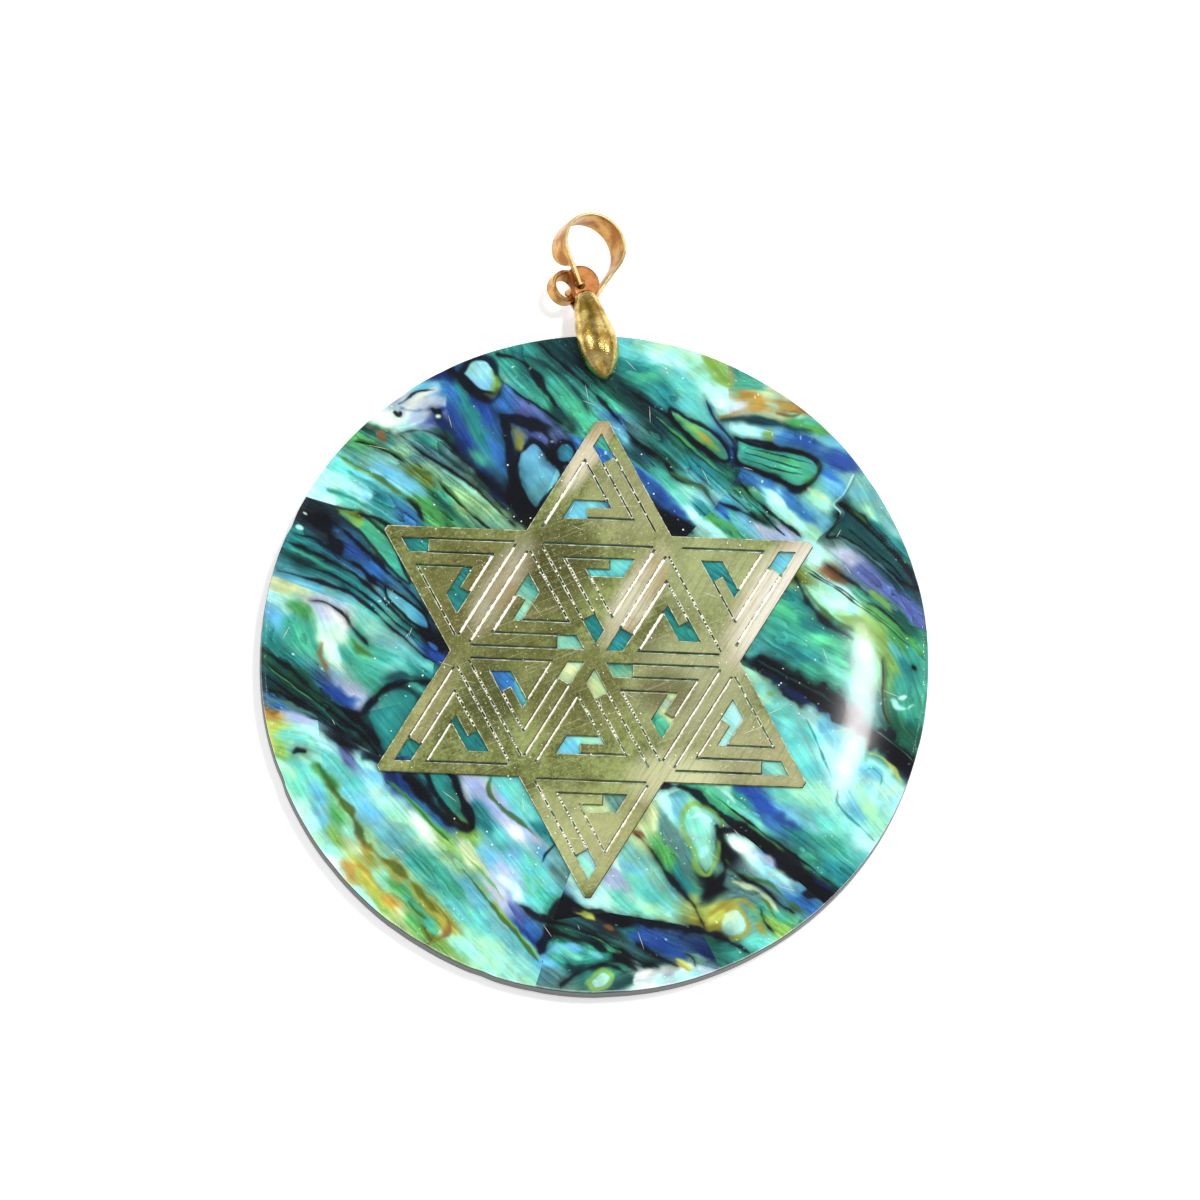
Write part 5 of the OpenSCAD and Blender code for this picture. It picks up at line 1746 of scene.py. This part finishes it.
def soft_light(name, place, size, power):
    """A soft oval lamp at a place, of a width and height, that faces the pendant's middle."""
    data = bpy.data.lights.new(name, "AREA")
    data.shape = "ELLIPSE"
    data.size, data.size_y = size
    data.energy = power
    obj = in_scene(name, data)
    z = unit(place)
    x = unit(np.cross([0, 1, 0.01], z))
    obj.matrix_world = placed((x, np.cross(z, x), z), place)
    return obj


# Soft lights: name, direction on the floor and lean from upright in degrees, distance and size in metres,
# watts. The key strip mirrors as the crescent at the disc's right. The shadow lamp has no mirror image.
LIGHTS = (
    ("key_strip", 39.2, 14.6, 1.206, (0.046, 0.115), 0.8),
    ("shadow_lamp", 39, 11.5, 1.2, (0.05, 0.05), 3.3),
    ("right_box", 40, 50, 1.2, (1.3, 1.1), 2.9),
    ("left_box", 158, 52, 1.2, (1.3, 1.1), 1.6),
    ("low_box", -100, 50, 1.2, (1.3, 1.0), 1.6),
    ("right_strip", 12, 42, 1.2, (0.1, 0.34), 1.7),
    ("left_strip", 166, 46, 1.2, (0.1, 0.3), 1.2),
)


# The floor's half side in metres, its points along a side, its own light and that of the room
FLOOR_HALF, FLOOR_POINTS = 1.2, 24
FLOOR_LIGHT, ROOM_LIGHT = 0.42, 0.42


def pale_floor():
    """A flat square floor at height 0, pale and slightly bright of itself."""
    g = np.linspace(-FLOOR_HALF, FLOOR_HALF, FLOOR_POINTS)
    x, y = np.meshgrid(g, g, indexing="ij")
    points = np.stack([x, y, 0 * x], -1).reshape(-1, 3)
    mesh = bpy.data.meshes.new("floor")
    mesh.from_pydata(points.tolist(), [], grid_faces(FLOOR_POINTS, FLOOR_POINTS)[:, ::-1].tolist())
    floor = in_scene("floor", mesh)
    f = Finish("pale_floor")
    pale = f.mix(f.noise(f.place(), 0.02, 2.0), shade(250, 250, 250), shade(253, 253, 253))
    mesh.materials.append(f.principled(Base_Color=pale, Roughness=0.9, Emission_Color=(1, 1, 1, 1),
                                       Emission_Strength=FLOOR_LIGHT))


class PENDANT_OT_stage(Operator):
    """Make the pale floor, the soft lights and the camera"""

    bl_idname = "pendant.stage"
    bl_label = "Stage, lights and camera"

    def execute(self, context):
        pale_floor()
        world = bpy.data.worlds.new("studio")
        context.scene.world = world
        world.use_nodes = True
        sky = world.node_tree.nodes["Background"]
        sky.inputs["Color"].default_value = (1, 1, 1, 1)
        sky.inputs["Strength"].default_value = ROOM_LIGHT
        context.scene.view_settings.view_transform = "Standard"
        for name, turn, lean, distance, size, power in LIGHTS:
            a, e = math.radians(turn), math.radians(lean)
            place = distance * np.array([math.sin(e) * math.cos(a), math.sin(e) * math.sin(a), math.cos(e)])
            lamp = soft_light(name, place, size, power)
            lamp.visible_glossy = name != "shadow_lamp"
        add_camera()
        return {"FINISHED"}


class PENDANT_PT_pieces(Panel):
    """Lists the settings and the pieces of the pendant"""

    bl_label = "Mandala pendant"
    bl_space_type = "VIEW_3D"
    bl_region_type = "UI"
    bl_category = "Pendant"

    def draw(self, context):
        for group in (context.scene.pendant_sizes, context.scene.pendant_colours):
            for key in group.__annotations__:
                self.layout.prop(group, key)
        for piece in STEPS:
            self.layout.operator(piece.bl_idname)


# The operators in the order in which they are called, and all classes of the add-on
STEPS = (PENDANT_OT_disc, PENDANT_OT_mosaic, PENDANT_OT_star, PENDANT_OT_bail, PENDANT_OT_stage)
CLASSES = (PendantSizes, PendantColours, *STEPS, PENDANT_PT_pieces)


def register():
    """Adds the classes and the settings."""
    for cls in CLASSES:
        bpy.utils.register_class(cls)
    bpy.types.Scene.pendant_sizes = PointerProperty(type=PendantSizes)
    bpy.types.Scene.pendant_colours = PointerProperty(type=PendantColours)


def unregister():
    """Takes the settings and the classes away again."""
    del bpy.types.Scene.pendant_colours
    del bpy.types.Scene.pendant_sizes
    for cls in reversed(CLASSES):
        bpy.utils.unregister_class(cls)


def main():
    """Builds the pieces and the stage in order."""
    register()
    for piece in STEPS:
        group, verb = piece.bl_idname.split(".")
        getattr(getattr(bpy.ops, group), verb)()


if __name__ == "__main__":
    main()
